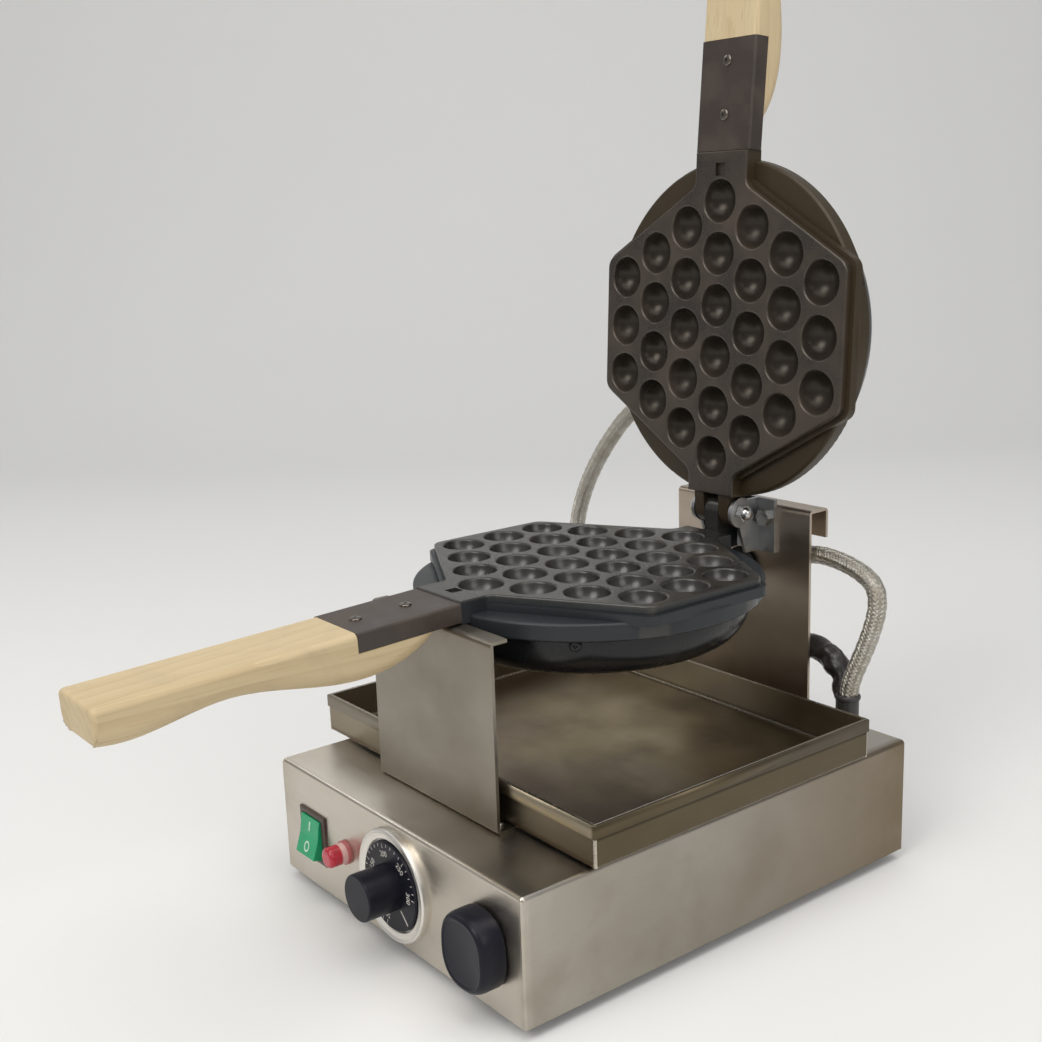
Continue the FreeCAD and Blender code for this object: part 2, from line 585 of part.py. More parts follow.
def mains_gland():
    body = new_body("mains_gland")
    level = f"{BASE_BOTTOM} + mains_z"
    collar = sketch(body, "XZ", "-" + PANEL)
    hexagon(collar, "-mains_x", level, "mains_flats")
    pad(collar, "mains_collar", back=True)
    thread = sketch(body, "XZ", f"-{PANEL} + gland_bite")
    circle(thread, "-mains_x", level, "mains_radius")
    pad(thread, "gland_bite + mains_collar", back=True)
    cap = sketch(body, "XZ", f"-{PANEL} - mains_collar")
    circle(cap, "-mains_x", level, "mains_cap_radius")
    dome = pad(cap, "mains_cap_length", back=True)
    soften(dome, "mains_cap_round", lambda edge: at(edge, "y", f"{PANEL} + mains_collar + mains_cap_length"))
    bore = sketch(body, "XZ", f"-{PANEL} - mains_collar - mains_cap_length - overrun")
    circle(bore, "-mains_x", level, "mains_bore_radius")
    pocket(bore, "mains_cap_length + mains_collar + gland_bite + overrun * 2", back=True)


def hinge():
    bracket = new_body("hinge_bracket")
    web = sketch(bracket, "XZ", "-" + BRACKET_FACE)
    centred(web, "0", f"{PIN_Z} + (bracket_rise - bracket_drop) / 2", "bracket_width",
            "(bracket_rise + bracket_drop)")
    pad(web, "ear_thick", back=True)
    outside = "(hinge_width / 2 + ear_gap + ear_thick)"
    for start in ("-" + outside, outside + " - ear_thick"):
        ear = sketch(bracket, "YZ", start)
        polygon(ear, [
            (f"{BRACKET_FACE} + ear_thick / 2", f"{PIN_Z} - bracket_drop"),
            (f"{BRACKET_FACE} + ear_thick / 2", f"{PIN_Z} + bracket_rise"),
            ("hinge_reach", f"{PIN_Z} + bracket_rise"), ("hinge_reach - ear_radius / 2", PIN_Z),
            ("hinge_reach + ear_radius / 2", f"{PIN_Z} - bracket_drop")])
        pad(ear, "ear_thick")
        nose = sketch(bracket, "YZ", start)
        circle(nose, "hinge_reach", PIN_Z, "ear_radius")
        pad(nose, "ear_thick")
    bore = sketch(bracket, "YZ", "hinge_width")
    circle(bore, "hinge_reach", PIN_Z, "pin_radius + pin_clear")
    pocket(bore, "hinge_width * 2")
    holes = sketch(bracket, "XZ", f"-{BRACKET_FACE} + overrun")
    for side in (-1, 1):
        circle(holes, f"bracket_bolt_x * {side}", BOLT_Z, "bolt_radius + fit_gap")
    pocket(holes, "ear_thick + overrun * 2")

    bolts = new_body("bracket_bolts")
    heads = sketch(bolts, "XZ", "-" + BRACKET_FACE)
    shanks = sketch(bolts, "XZ", "-" + BRACKET_FACE)
    nuts = sketch(bolts, "XZ", "-rear_support_y - support_thick")
    for side in (-1, 1):
        hexagon(heads, f"bracket_bolt_x * {side}", BOLT_Z, "bolt_flats")
        circle(shanks, f"bracket_bolt_x * {side}", BOLT_Z, "bolt_radius")
        hexagon(nuts, f"bracket_bolt_x * {side}", BOLT_Z, "bolt_flats")
    pad(heads, "bolt_head")
    pad(shanks, "ear_thick + support_thick + bolt_head + bolt_tail", back=True)
    pad(nuts, "bolt_head", back=True)

    pin = new_body("hinge_pin")
    rod = sketch(pin, "YZ", f"-{outside} - acorn_nut")
    circle(rod, "hinge_reach", PIN_Z, "pin_radius")
    pad(rod, f"({outside} + acorn_nut) * 2")
    nuts = new_body("hinge_acorn_nuts")
    seat = f"({outside} + fit_gap)"
    for side in (-1, 1):
        collar = sketch(nuts, "YZ", f"{seat} * {side}")
        hexagon(collar, "hinge_reach", PIN_Z, "acorn_flats")
        pad(collar, "acorn_nut", back=side < 0)
        dome = sketch(nuts, "YZ", f"{seat} * {side}")
        circle(dome, "hinge_reach", PIN_Z, "acorn_radius")
        cap = pad(dome, "acorn_nut + acorn_dome", back=side < 0)
        top = f"({seat} + acorn_nut + acorn_dome) * {side}"
        soften(cap, "acorn_round", lambda edge: at(edge, "x", top))
        well = sketch(nuts, "YZ", f"({seat} - overrun) * {side}")
        circle(well, "hinge_reach", PIN_Z, "pin_radius + pin_clear")
        pocket(well, "acorn_nut + overrun + fit_gap", back=side > 0)


def plate_outline(made, margin):
    side = f"(cup_pitch * {3 * root_three / 2:.6f} + {margin})"
    shoulder = f"(cup_pitch + ({margin}) / {root_three:.6f})"
    tip = f"(cup_pitch * 2.5 + ({margin}) * {2 / root_three:.6f})"
    polygon(made, [(side, "-" + shoulder), (side, shoulder), ("0", tip), ("-" + side, shoulder),
                   ("-" + side, "-" + shoulder), ("0", "-" + tip)])


def cup_plate(name):
    lower = name == "lower"
    pin_level = PIN_Z if lower else f"({PARTING} - pin_rise)"
    body = new_body(name + "_plate")
    flange = sketch(body, "XY", PLATE_BOTTOM)
    circle(flange, "0", "0", "flange_radius")
    disc = pad(flange, "flange_thick")
    soften(disc, "flange_edge", lambda edge: at(edge, "z", LAND_BOTTOM) or at(edge, "z", PLATE_BOTTOM))
    # hexagonal land in two tiers with rounded corners
    tiers = (("land_margin + step_margin", "step_height"), ("land_margin", "land_height"))
    for margin, height in tiers:
        outline = sketch(body, "XY", f"{LAND_BOTTOM} - flange_edge")
        plate_outline(outline, f"({margin})")
        tier = pad(outline, f"flange_edge + {height}")
        reach = value(f"cup_pitch * {3 * root_three / 2:.6f} + {margin}")
        soften(tier, "land_corner", lambda edge: upright(edge)
               and abs(abs(edge.BoundBox.XMax) - reach) < value("edge_slack"))
    # necks towards the handle and the hinge, with rounded roots
    necks = sketch(body, "XY", NECK_BOTTOM)
    rectangle(necks, "-neck_width / 2", "neck_width / 2", "-neck_end", "-neck_inner")
    rectangle(necks, "-rear_neck_width / 2", "rear_neck_width / 2", "neck_inner", "hinge_block_end")
    solid = pad(necks, "neck_thick")
    solid = soften(solid, "neck_root", lambda edge: upright(edge) and at(edge, "z", FACE, "land_height")
                   and abs(edge.BoundBox.ZMax - value(FACE)) < value("edge_slack")
                   and abs(edge.BoundBox.YMax) < value("hinge_block_end - length_slack"))
    soften(solid, "land_edge", lambda edge: at(edge, "z", FACE))
    # tang that carries the handle, sloping with it
    slope = f"tang_length * {math.tan(math.radians(value('handle_tilt'))):.6f}"
    tang = sketch(body, "YZ", "-channel_width / 2 + channel_wall + channel_gap")
    top = f"{FACE} - handle_drop - channel_wall - channel_gap"
    polygon(tang, [("-neck_end + overrun", top), ("-neck_end + overrun", f"{top} - tang_thick"),
                   ("-neck_end - tang_length", f"{top} - tang_thick - {slope}"),
                   ("-neck_end - tang_length", f"{top} - {slope}")])
    pad(tang, "channel_width - channel_wall * 2 - channel_gap * 2")
    bolt = sketch(body, "XY", f"{FACE} + overrun")
    circle(bolt, "0", "-neck_end - channel_gap - rivet_first", "rivet_radius + fit_gap * 2")
    pocket(bolt, "neck_thick")
    # hinge: a tongue below, two lugs above
    if lower:
        spans = [("-tongue_width / 2", "tongue_width")]
        root = [("tongue_inner", NECK_BOTTOM), ("tongue_inner", f"{FACE} - tongue_gap"),
                ("hinge_reach - knuckle_radius", f"{FACE} - tongue_gap"),
                ("hinge_reach - knuckle_radius", pin_level), ("hinge_reach + knuckle_radius", pin_level),
                ("hinge_reach + knuckle_radius", NECK_BOTTOM)]
    else:
        lug = "(hinge_width / 2 - tongue_width / 2 - tongue_gap)"
        spans = [("-hinge_width / 2", lug), (f"hinge_width / 2 - {lug}", lug)]
        root = [("tongue_inner", NECK_BOTTOM), ("tongue_inner", f"{FACE} - tongue_gap"),
                ("hinge_reach", f"{pin_level} + knuckle_radius"), ("hinge_reach + knuckle_radius", pin_level),
                ("hinge_reach", f"{pin_level} - knuckle_radius")]
    for start, width in spans:
        lug = sketch(body, "YZ", start)
        polygon(lug, root)
        pad(lug, width)
        knuckle = sketch(body, "YZ", start)
        circle(knuckle, "hinge_reach", pin_level, "knuckle_radius")
        pad(knuckle, width)
    bore = sketch(body, "YZ", "hinge_width")
    circle(bore, "hinge_reach", pin_level, "pin_radius + pin_clear")
    pocket(bore, "hinge_width * 2")
    # cups in seven columns of three, four, five, six, five, four and three
    ball = "((cup_radius ^ 2 + cup_depth ^ 2) / (2 * cup_depth))"
    for column in range(-3, 4):
        count = 6 - abs(column)
        cup = body.newObject("PartDesign::SubtractiveSphere", body.Name + "_cup")
        cup.AttachmentSupport = [(origin(body, "XY_Plane"), "")]
        cup.MapMode = "FlatFace"
        cup.setExpression("Radius", bind(ball))
        cup.setExpression("AttachmentOffset.Base.x", bind(f"cup_pitch * {column * root_three / 2:.6f}"))
        cup.setExpression("AttachmentOffset.Base.y", bind(f"cup_pitch * {(1 - count) / 2}"))
        cup.setExpression("AttachmentOffset.Base.z", bind(f"{FACE} - cup_depth + {ball}"))
        doc.recompute()
        pattern(cup, "LinearPattern", "Y", count, f"cup_pitch * {count - 1}")
    recess = sketch(body, "XY", FACE)
    centred(recess, "0", "-recess_y", "recess_size", "recess_size")
    pocket(recess, "recess_depth")
    # spigot that the cover slips over, with its screw holes
    spigot = sketch(body, "XY", f"{PLATE_BOTTOM} - spigot_height")
    circle(spigot, "0", "0", "cover_radius - cover_wall - fit_gap")
    circle(spigot, "0", "0", "cover_radius - cover_wall - fit_gap - spigot_width")
    pad(spigot, "spigot_height + overrun")
    radial(body, "Subtractive", "socket_radius + fit_gap", "socket_inner", "socket_outer - socket_inner",
           name + "_socket_angle", SOCKET_Z)
    hole = radial(body, "Subtractive", "cover_screw_radius + fit_gap",
                  "cover_radius - cover_wall - spigot_width - overrun", "spigot_width + overrun * 2",
                  "cover_screw_angle", COVER_SCREW_Z)
    pattern(hole, "PolarPattern", "Z", 4, "360")
    return body


def heater_cover(name):
    body = new_body(name + "_cover")
    pan = sketch(body, "XY", f"{PLATE_BOTTOM} - cover_depth")
    circle(pan, "0", "0", "cover_radius")
    block = pad(pan, "cover_depth")
    block = soften(block, "cover_round", lambda edge: at(edge, "z", f"{PLATE_BOTTOM} - cover_depth"))
    mouth = [f"Face{i + 1}" for i, face in enumerate(block.Shape.Faces) if at(face, "z", PLATE_BOTTOM)]
    shell = body.newObject("PartDesign::Thickness", body.Name + "_shell")
    shell.Base = (block, mouth)
    shell.setExpression("Value", bind("cover_wall"))
    shell.Reversed = True
    shell.Join = 1
    doc.recompute()
    radial(body, "Subtractive", "socket_radius + fit_gap", "socket_inner", "socket_outer - socket_inner",
           name + "_socket_angle", SOCKET_Z)
    hole = radial(body, "Subtractive", "cover_screw_radius + fit_gap", "cover_radius - cover_wall - overrun",
                  "cover_wall + overrun * 2", "cover_screw_angle", COVER_SCREW_Z)
    pattern(hole, "PolarPattern", "Z", 4, "360")
    return body


def cover_screws(name):
    body = new_body(name + "_cover_screws")
    shank = radial(body, "Additive", "cover_screw_radius",
                   "cover_radius + fit_gap - cover_wall - cover_screw_bite",
                   "cover_wall + cover_screw_bite + fit_gap", "cover_screw_angle", COVER_SCREW_Z)
    pattern(shank, "PolarPattern", "Z", 4, "360")
    head = radial(body, "Additive", "cover_head_radius", "cover_radius + fit_gap", "cover_head_height",
                  "cover_screw_angle", COVER_SCREW_Z)
    pattern(head, "PolarPattern", "Z", 4, "360")
    return body


def heater(name):
    level = f"{PLATE_BOTTOM} - heater_gap - heater_tube"
    ring = doc.addObject("Part::Torus", name + "_heater_ring")
    ring.setExpression("Radius1", bind("heater_ring"))
    ring.setExpression("Radius2", bind("heater_tube"))
    ring.setExpression("Angle3", bind("heater_sweep"))
    turn = FreeCAD.Rotation(FreeCAD.Vector(0, 0, 1), value(f"{name}_socket_angle + 180 - heater_sweep / 2"))
    ring.Placement = FreeCAD.Placement(vector("0", "0", level), turn)
    tails = []
    for end, side in (("0", -1), ("heater_sweep", 1)):
        tail = doc.addObject("Part::Cylinder", name + "_heater_tail")
        tail.setExpression("Radius", bind("heater_tube"))
        tail.setExpression("Height", bind("heater_tail"))
        angle = math.radians(value(f"{name}_socket_angle + 180 - heater_sweep / 2 + {end}"))
        along = FreeCAD.Vector(-math.sin(angle), math.cos(angle), 0) * side
        outward = FreeCAD.Vector(math.cos(angle), math.sin(angle), 0)
        spot = outward * value("heater_ring") + vector("0", "0", level)
        tail.Placement = FreeCAD.Placement(spot, FreeCAD.Rotation(FreeCAD.Vector(0, 0, 1), along))
        tails.append(tail)
    whole = doc.addObject("Part::MultiFuse", name + "_heater")
    whole.Shapes = [ring] + tails
    whole.Label = name + "_heater"
    doc.recompute()
    nodes.append(whole)
    return whole


def hose_socket(name):
    body = new_body(name + "_hose_socket")
    radial(body, "Additive", "socket_radius", "socket_inner", "socket_outer - socket_inner",
           name + "_socket_angle", SOCKET_Z)
    radial(body, "Additive", "socket_collar_radius", "cover_radius + fit_gap * 2", "socket_collar",
           name + "_socket_angle", SOCKET_Z)
    return body


HANDLE_TOP = f"({FACE} - handle_drop)"
CHANNEL_START = "(neck_end + channel_gap)"
CHANNEL_END = f"({CHANNEL_START} + channel_length)"


def handle_channel(name):
    body = new_body(name + "_handle_channel")
    outer, inner = "channel_width / 2", "(channel_width / 2 - channel_wall)"
    profile = sketch(body, "XZ", CHANNEL_START)
    polygon(profile, [
        ("-" + outer, f"{HANDLE_TOP} - channel_side"), ("-" + outer, HANDLE_TOP), (outer, HANDLE_TOP),
        (outer, f"{HANDLE_TOP} - channel_side"), (inner, f"{HANDLE_TOP} - channel_side"),
        (inner, f"{HANDLE_TOP} - channel_wall"), ("-" + inner, f"{HANDLE_TOP} - channel_wall"),
        ("-" + inner, f"{HANDLE_TOP} - channel_side")])
    bar = pad(profile, "channel_length")
    soften(bar, "channel_wall", lambda edge: runs_along(edge, "y", "channel_length")
           and at(edge, "z", HANDLE_TOP))
    holes = sketch(body, "XY", f"{HANDLE_TOP} + overrun")
    for place in ("rivet_first", "rivet_second"):
        circle(holes, "0", f"-{CHANNEL_START} - {place}", "rivet_radius + fit_gap")
    pocket(holes, "channel_wall + overrun * 2")
    return body


def handle_screws(name):
    body = new_body(name + "_handle_screws")
    heads = sketch(body, "XY", HANDLE_TOP)
    shanks = sketch(body, "XY", HANDLE_TOP)
    for place in ("rivet_first", "rivet_second"):
        circle(heads, "0", f"-{CHANNEL_START} - {place}", "rivet_head")
        circle(shanks, "0", f"-{CHANNEL_START} - {place}", "rivet_radius")
    caps = pad(heads, "rivet_dome")
    soften(caps, "rivet_dome * dome_share", lambda edge: at(edge, "z", f"{HANDLE_TOP} + rivet_dome"))
    pad(shanks, "rivet_depth", back=True)
    return body


# Underside of the grip: shares of its length, and of the belly, waist or butt depth reached there
GRIP_SHARES = ((0.10, 0.62, "(grip_nose + grip_belly)"), (0.29, 1, "grip_belly"), (0.66, 1, "grip_waist"),
               (0.94, 1, "grip_butt"), (1, 0.92, "grip_butt"))


def handle_grip(name):
    body = new_body(name + "_grip")
    profile = sketch(body, "YZ", "-channel_width / 2")
    length = "(grip_end - grip_start)"
    under = [("0", "grip_nose")]
    under += [(f"{length} * {along}", f"{depth} * {share}") for along, share, depth in GRIP_SHARES]
    points = [FreeCAD.Vector(value(f"-grip_start - {along}"), value(f"{HANDLE_TOP} - {depth}"), 0)
              for along, depth in under]
    curve = Part.BSplineCurve()
    curve.interpolate(points)
    belly = profile.addGeometry(curve)
    nose = FreeCAD.Vector(points[0].x, value(HANDLE_TOP), 0)
    butt = FreeCAD.Vector(points[-1].x, value(HANDLE_TOP), 0)
    lines = [profile.addGeometry(Part.LineSegment(points[-1], butt)),
             profile.addGeometry(Part.LineSegment(butt, nose)),
             profile.addGeometry(Part.LineSegment(nose, points[0]))]
    profile.addConstraint(Sketcher.Constraint("Coincident", belly, 2, lines[0], 1))
    profile.addConstraint(Sketcher.Constraint("Coincident", lines[0], 2, lines[1], 1))
    profile.addConstraint(Sketcher.Constraint("Coincident", lines[1], 2, lines[2], 1))
    profile.addConstraint(Sketcher.Constraint("Coincident", lines[2], 2, belly, 1))
    block = pad(profile, "channel_width")
    most = "(grip_end - grip_start) * grip_length_share"
    block = soften(block, "grip_under", lambda edge: runs_along(edge, "y", most)
                   and edge.BoundBox.ZLength > value("grip_waist - grip_nose"))
    soften(block, "grip_edge", lambda edge: runs_along(edge, "y", most) and at(edge, "z", HANDLE_TOP))
    # seat of the channel: its top sheet and its two sides
    seat = sketch(body, "XZ", "grip_start - overrun")
    outer, inner = "(channel_width / 2 + overrun)", "(channel_width / 2 - channel_wall - channel_gap)"
    floor, foot = f"{HANDLE_TOP} - channel_wall - channel_gap", f"{HANDLE_TOP} - channel_side - channel_gap"
    above = f"{HANDLE_TOP} + overrun"
    polygon(seat, [("-" + outer, foot), ("-" + outer, above), (outer, above), (outer, foot), (inner, foot),
                   (inner, floor), ("-" + inner, floor), ("-" + inner, foot)])
    pocket(seat, f"{CHANNEL_END} + channel_gap - grip_start + overrun", back=True)
    # room for the tang of the plate
    tang = sketch(body, "XY", f"{HANDLE_TOP} + overrun")
    rectangle(tang, "-" + outer, outer, "-neck_end - tang_length - channel_gap", "-grip_start + overrun")
    pocket(tang, "overrun + channel_wall + channel_gap * 2 + tang_thick")
    holes = sketch(body, "XY", f"{HANDLE_TOP} + overrun")
    for place in ("rivet_first", "rivet_second"):
        circle(holes, "0", f"-{CHANNEL_START} - {place}", "rivet_radius + fit_gap")
    pocket(holes, "rivet_depth + overrun * 2")
    return body


def iron(name, stand):
    tilt = FreeCAD.Placement(
        FreeCAD.Vector(), FreeCAD.Rotation(FreeCAD.Vector(1, 0, 0), value("handle_tilt")),
        vector("0", "-neck_end", HANDLE_TOP))
    for make in (cup_plate, heater_cover, cover_screws, heater, hose_socket):
        made = make(name)
        made.Placement = stand.multiply(made.Placement)
    for make in (handle_channel, handle_grip, handle_screws):
        made = make(name)
        made.Placement = stand.multiply(tilt)


def hose(label, points):
    corners_at = [FreeCAD.Vector(*point) for point in points]
    radius = value("hose_radius")
    edges, bends, start = [], [], corners_at[0]
    for before, corner, after in zip(corners_at, corners_at[1:], corners_at[2:]):
        into, out = (corner - before).normalize(), (after - corner).normalize()
        half_turn = into.getAngle(out) / 2
        cut = value("hose_cut_share") * min((corner - before).Length, (after - corner).Length)
        bend = cut / math.tan(half_turn)
        bends.append(bend)
        first, last = corner - into * cut, corner + out * cut
        centre = corner + (out - into).normalize() * (bend / math.cos(half_turn))
        middle = centre + (corner - centre).normalize() * bend
        edges.append(Part.LineSegment(start, first).toShape())
        edges.append(Part.Arc(first, middle, last).toShape())
        start = last
    edges.append(Part.LineSegment(start, corners_at[-1]).toShape())
    path = Part.Wire(edges)
    heading = (corners_at[1] - corners_at[0]).normalize()
    ring = Part.Wire(Part.Circle(corners_at[0], heading, radius).toShape())
    made = doc.addObject("Part::Feature", label)
    made.Shape = path.makePipeShell([ring], True, False)
    made.Label = label
    nodes.append(made)
    share = made.Shape.Volume / (math.pi * radius ** 2 * path.Length)
    print(label, "length", round(path.Length, 1), "least bend", round(min(bends), 1))
    print("  volume share", round(share, 4), "bends", [round(bend) for bend in bends])


# Routes of the two hoses, from the socket on the heater cover to the gland on the base
LOWER_ROUTE = [
    (0, 110, 177.5), (0, 136, 177.5), (12, 150.5, 180), (34, 154.5, 188), (57, 152, 194), (80, 148.8, 193),
    (96, 146, 189.5), (105.5, 143.6, 182), (110.8, 141.5, 170.5), (110.6, 139.6, 157), (106.3, 137.2, 140.5),
    (98.8, 131.5, 118), (98.8, 131.5, 100.8)]
UPPER_ROUTE = [
    (-95.26, 140.8, 283.4), (-112.5, 140.3, 273.4), (-136, 140, 250), (-160, 140.5, 219), (-176, 141.5, 187),
    (-181, 143, 159), (-171, 146, 134), (-146, 149, 114), (-108, 150.5, 104), (-66, 150.5, 102.5),
    (-23, 150.5, 107.5), (18, 150.5, 118.5), (42, 150.3, 127.5), (62.6, 149.5, 130), (77.3, 148, 122.8),
    (86, 146.2, 108.8), (86, 146.2, 94.2)]

base_housing()
rear_panel()
bottom_cover()
rubber_feet()
screw_group("foot_screws", [(f"{FOOT_X} * {x}", f"{FOOT_Y} * {y}") for x, y in corners], "foot_recess", False)
front_support()
rear_support()
support_places = [(f"screw_side * {side}", place) for side in (-1, 1)
                  for place in ("-" + FRONT_SCREW_Y, REAR_SCREW_Y)]
screw_group("support_screws", support_places, f"{BASE_TOP} + support_thick", True)
drip_tray()
switch_body()
switch_rocker()
pilot_lamp()
thermostat()
timer()
terminal_block()
hose_gland("lower")
hose_gland("upper")
mains_gland()
hinge()
iron("lower", FreeCAD.Placement())
flip = FreeCAD.Placement(vector("0", "0", PARTING + " * 2"), FreeCAD.Rotation(FreeCAD.Vector(0, 1, 0), 180))
swing = FreeCAD.Placement(
    FreeCAD.Vector(), FreeCAD.Rotation(FreeCAD.Vector(1, 0, 0), -value("open_angle")),
    vector("0", "hinge_reach", PIN_Z))
iron("upper", swing.multiply(flip))
hose("lower_hose", LOWER_ROUTE)
hose("upper_hose", UPPER_ROUTE)

doc.recompute()
failed = [item.Label for item in doc.Objects if "Invalid" in item.State or "Error" in item.State]
failed += [node.Label for node in nodes if node.Shape.isNull() or not node.Shape.isValid()]
if failed:
    raise RuntimeError("these did not build: " + ", ".join(failed))
os.makedirs("parts", exist_ok=True)
for node in nodes:
    node.Shape.exportStep(f"parts/{node.Label}.step")
print(len(nodes), "nodes written")
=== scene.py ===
import math

import bmesh
import bpy
from mathutils import Matrix, Vector, geometry


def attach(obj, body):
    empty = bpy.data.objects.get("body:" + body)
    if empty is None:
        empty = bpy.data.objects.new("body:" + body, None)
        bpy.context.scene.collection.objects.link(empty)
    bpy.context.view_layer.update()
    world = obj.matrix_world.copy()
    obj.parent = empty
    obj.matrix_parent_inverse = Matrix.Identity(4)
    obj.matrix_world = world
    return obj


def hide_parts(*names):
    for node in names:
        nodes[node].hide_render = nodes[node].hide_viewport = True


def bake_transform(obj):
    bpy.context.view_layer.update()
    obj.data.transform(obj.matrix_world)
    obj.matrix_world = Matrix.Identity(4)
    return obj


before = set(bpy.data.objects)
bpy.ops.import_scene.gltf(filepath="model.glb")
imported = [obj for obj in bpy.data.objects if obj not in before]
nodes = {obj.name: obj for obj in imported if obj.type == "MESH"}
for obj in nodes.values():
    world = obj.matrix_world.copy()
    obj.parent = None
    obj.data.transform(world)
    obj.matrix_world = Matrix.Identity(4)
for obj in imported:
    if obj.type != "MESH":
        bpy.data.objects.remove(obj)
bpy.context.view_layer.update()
scene = bpy.context.scene
scene.view_settings.view_transform = "Standard"
print("frame loaded,", len(nodes), "nodes")


# Camera where the photograph was taken

cameraSettings = {
    "place": (0.6338, -0.5412, 0.4247),
    "right": (0.61719, 0.78612, -0.03297),
    "up": (-0.15601, 0.16334, 0.97416),
    "back": (0.77119, -0.59610, 0.22346),
    "lensMm": 47.77, "sensorMm": 36.0, "clipStart": 0.02}


def placeCamera(look):
    data = bpy.data.cameras.new("photoCamera")
    data.lens = look["lensMm"]
    data.sensor_width = look["sensorMm"]
    data.clip_start = look["clipStart"]
    camera = bpy.data.objects.new("photoCamera", data)
    turn = Matrix((look["right"], look["up"], look["back"])).transposed()
    camera.matrix_world = Matrix.Translation(look["place"]) @ turn.to_4x4()
    scene.collection.objects.link(camera)
    scene.camera = camera


placeCamera(cameraSettings)


# The two irons share one flat shape: the lower lies as drawn, the upper is turned over and swung up about the pin

ironSettings = {"parting": 0.2087, "pin": (0, 0.1186, 0.2210), "openTurn": -93}


def ironStands(settings):
    pin = Vector(settings["pin"])
    over = Matrix.Translation((0, 0, 2 * settings["parting"])) @ Matrix.Rotation(math.pi, 4, "Y")
    swing = Matrix.Rotation(math.radians(settings["openTurn"]), 4, "X")
    return {"lower": Matrix.Identity(4), "upper": Matrix.Translation(pin) @ swing @ Matrix.Translation(-pin) @ over}


stands = ironStands(ironSettings)
rides = {"lower": "base", "upper": "upper_iron"}


# Small helpers for node trees and meshes

weldGap, flushGap, markGap = 2e-6, 1e-5, 1e-7


def addNode(tree, kind, inputs=None, **settings):
    node = tree.nodes.new(kind)
    for key, setting in settings.items():
        setattr(node, key, setting)
    for key, given in (inputs or {}).items():
        if isinstance(given, bpy.types.NodeSocket):
            tree.links.new(given, node.inputs[key])
        else:
            node.inputs[key].default_value = given
    return node


def mathNode(tree, operation, *given):
    return addNode(tree, "ShaderNodeMath", dict(enumerate(given)), operation=operation).outputs[0]


def plus(tree, one, two):
    return mathNode(tree, "ADD", one, two)


def minus(tree, one, two):
    return mathNode(tree, "SUBTRACT", one, two)


def times(tree, one, two):
    return mathNode(tree, "MULTIPLY", one, two)


def vectorNode(tree, operation, *given):
    return addNode(tree, "ShaderNodeVectorMath", dict(enumerate(given)), operation=operation).outputs[0]


def scaled(tree, vector, scale):
    return addNode(tree, "ShaderNodeVectorMath", {0: vector, "Scale": scale}, operation="SCALE").outputs[0]


def geo(tree, kind, inputs=None, **settings):
    return addNode(tree, "GeometryNode" + kind, inputs, **settings).outputs[0]


def startMaterial(name, roughness, metallic=0.0, **sockets):
    mat = bpy.data.materials.new(name)
    mat.use_nodes = True
    shader = mat.node_tree.nodes["Principled BSDF"]
    shader.inputs["Roughness"].default_value = roughness
    shader.inputs["Metallic"].default_value = metallic
    for key, given in sockets.items():
        shader.inputs[key.replace("_", " ")].default_value = given
    return mat, mat.node_tree, shader


def feed(shader, **given):
    for key, socket in given.items():
        shader.id_data.links.new(socket, shader.inputs[key.replace("_", " ")])


def objectCoords(tree, scale=(1, 1, 1), turn=(0, 0, 0), shift=(0, 0, 0)):
    coords = addNode(tree, "ShaderNodeTexCoord").outputs["Object"]
    return addNode(tree, "ShaderNodeMapping", {
        "Vector": coords, "Scale": scale, "Rotation": turn, "Location": shift}).outputs[0]


def noise(tree, vector, scale, detail=3.0, rough=0.5, distort=0.0):
    return addNode(tree, "ShaderNodeTexNoise", {
        "Vector": vector, "Scale": scale, "Detail": detail, "Roughness": rough,
        "Distortion": distort}).outputs["Fac"]


def ramp(tree, factor, *stops):
    node = addNode(tree, "ShaderNodeValToRGB", {"Fac": factor})
    while len(node.color_ramp.elements) < len(stops):
        node.color_ramp.elements.new(0.5)
    for element, (place, colour) in zip(node.color_ramp.elements, stops):
        element.position = place
        element.color = (*colour, 1)
    return node.outputs["Color"]


def span(tree, factor, low, high, fromLow=0.0, fromHigh=1.0):
    return addNode(tree, "ShaderNodeMapRange", {
        "Value": factor, "From Min": fromLow, "From Max": fromHigh, "To Min": low, "To Max": high}).outputs[0]


def blendColours(tree, factor, one, two, mode="MIX"):
    node = addNode(tree, "ShaderNodeMix", data_type="RGBA", blend_type=mode)
    for index, given in ((0, factor), (6, one), (7, two)):
        if isinstance(given, bpy.types.NodeSocket):
            tree.links.new(given, node.inputs[index])
        else:
            node.inputs[index].default_value = (*given, 1) if isinstance(given, tuple) else given
    return node.outputs[2]


def bump(tree, height, strength, distance, shader, onto=None):
    node = addNode(tree, "ShaderNodeBump", {"Height": height, "Strength": strength, "Distance": distance})
    if onto is not None:
        tree.links.new(onto, node.inputs["Normal"])
    tree.links.new(node.outputs[0], shader.inputs["Normal"])
    return node.outputs[0]


def dress(mat, *names):
    for name in names:
        mesh = nodes[name].data
        mesh.materials.clear()
        mesh.materials.append(mat)


def hold(name, data):
    holder = bpy.data.objects.new(name, data)
    scene.collection.objects.link(holder)
    return holder


def meshOf(holder):
    # the finished mesh of an object that is only passing through
    mesh = bpy.data.meshes.new_from_object(holder.evaluated_get(bpy.context.evaluated_depsgraph_get()))
    bpy.data.objects.remove(holder)
    return mesh


def makePiece(name, mesh, mat):
    mesh.name = name
    if mat is not None and not mesh.materials:
        mesh.materials.append(mat)
    return hold(name, mesh)


# Finishes

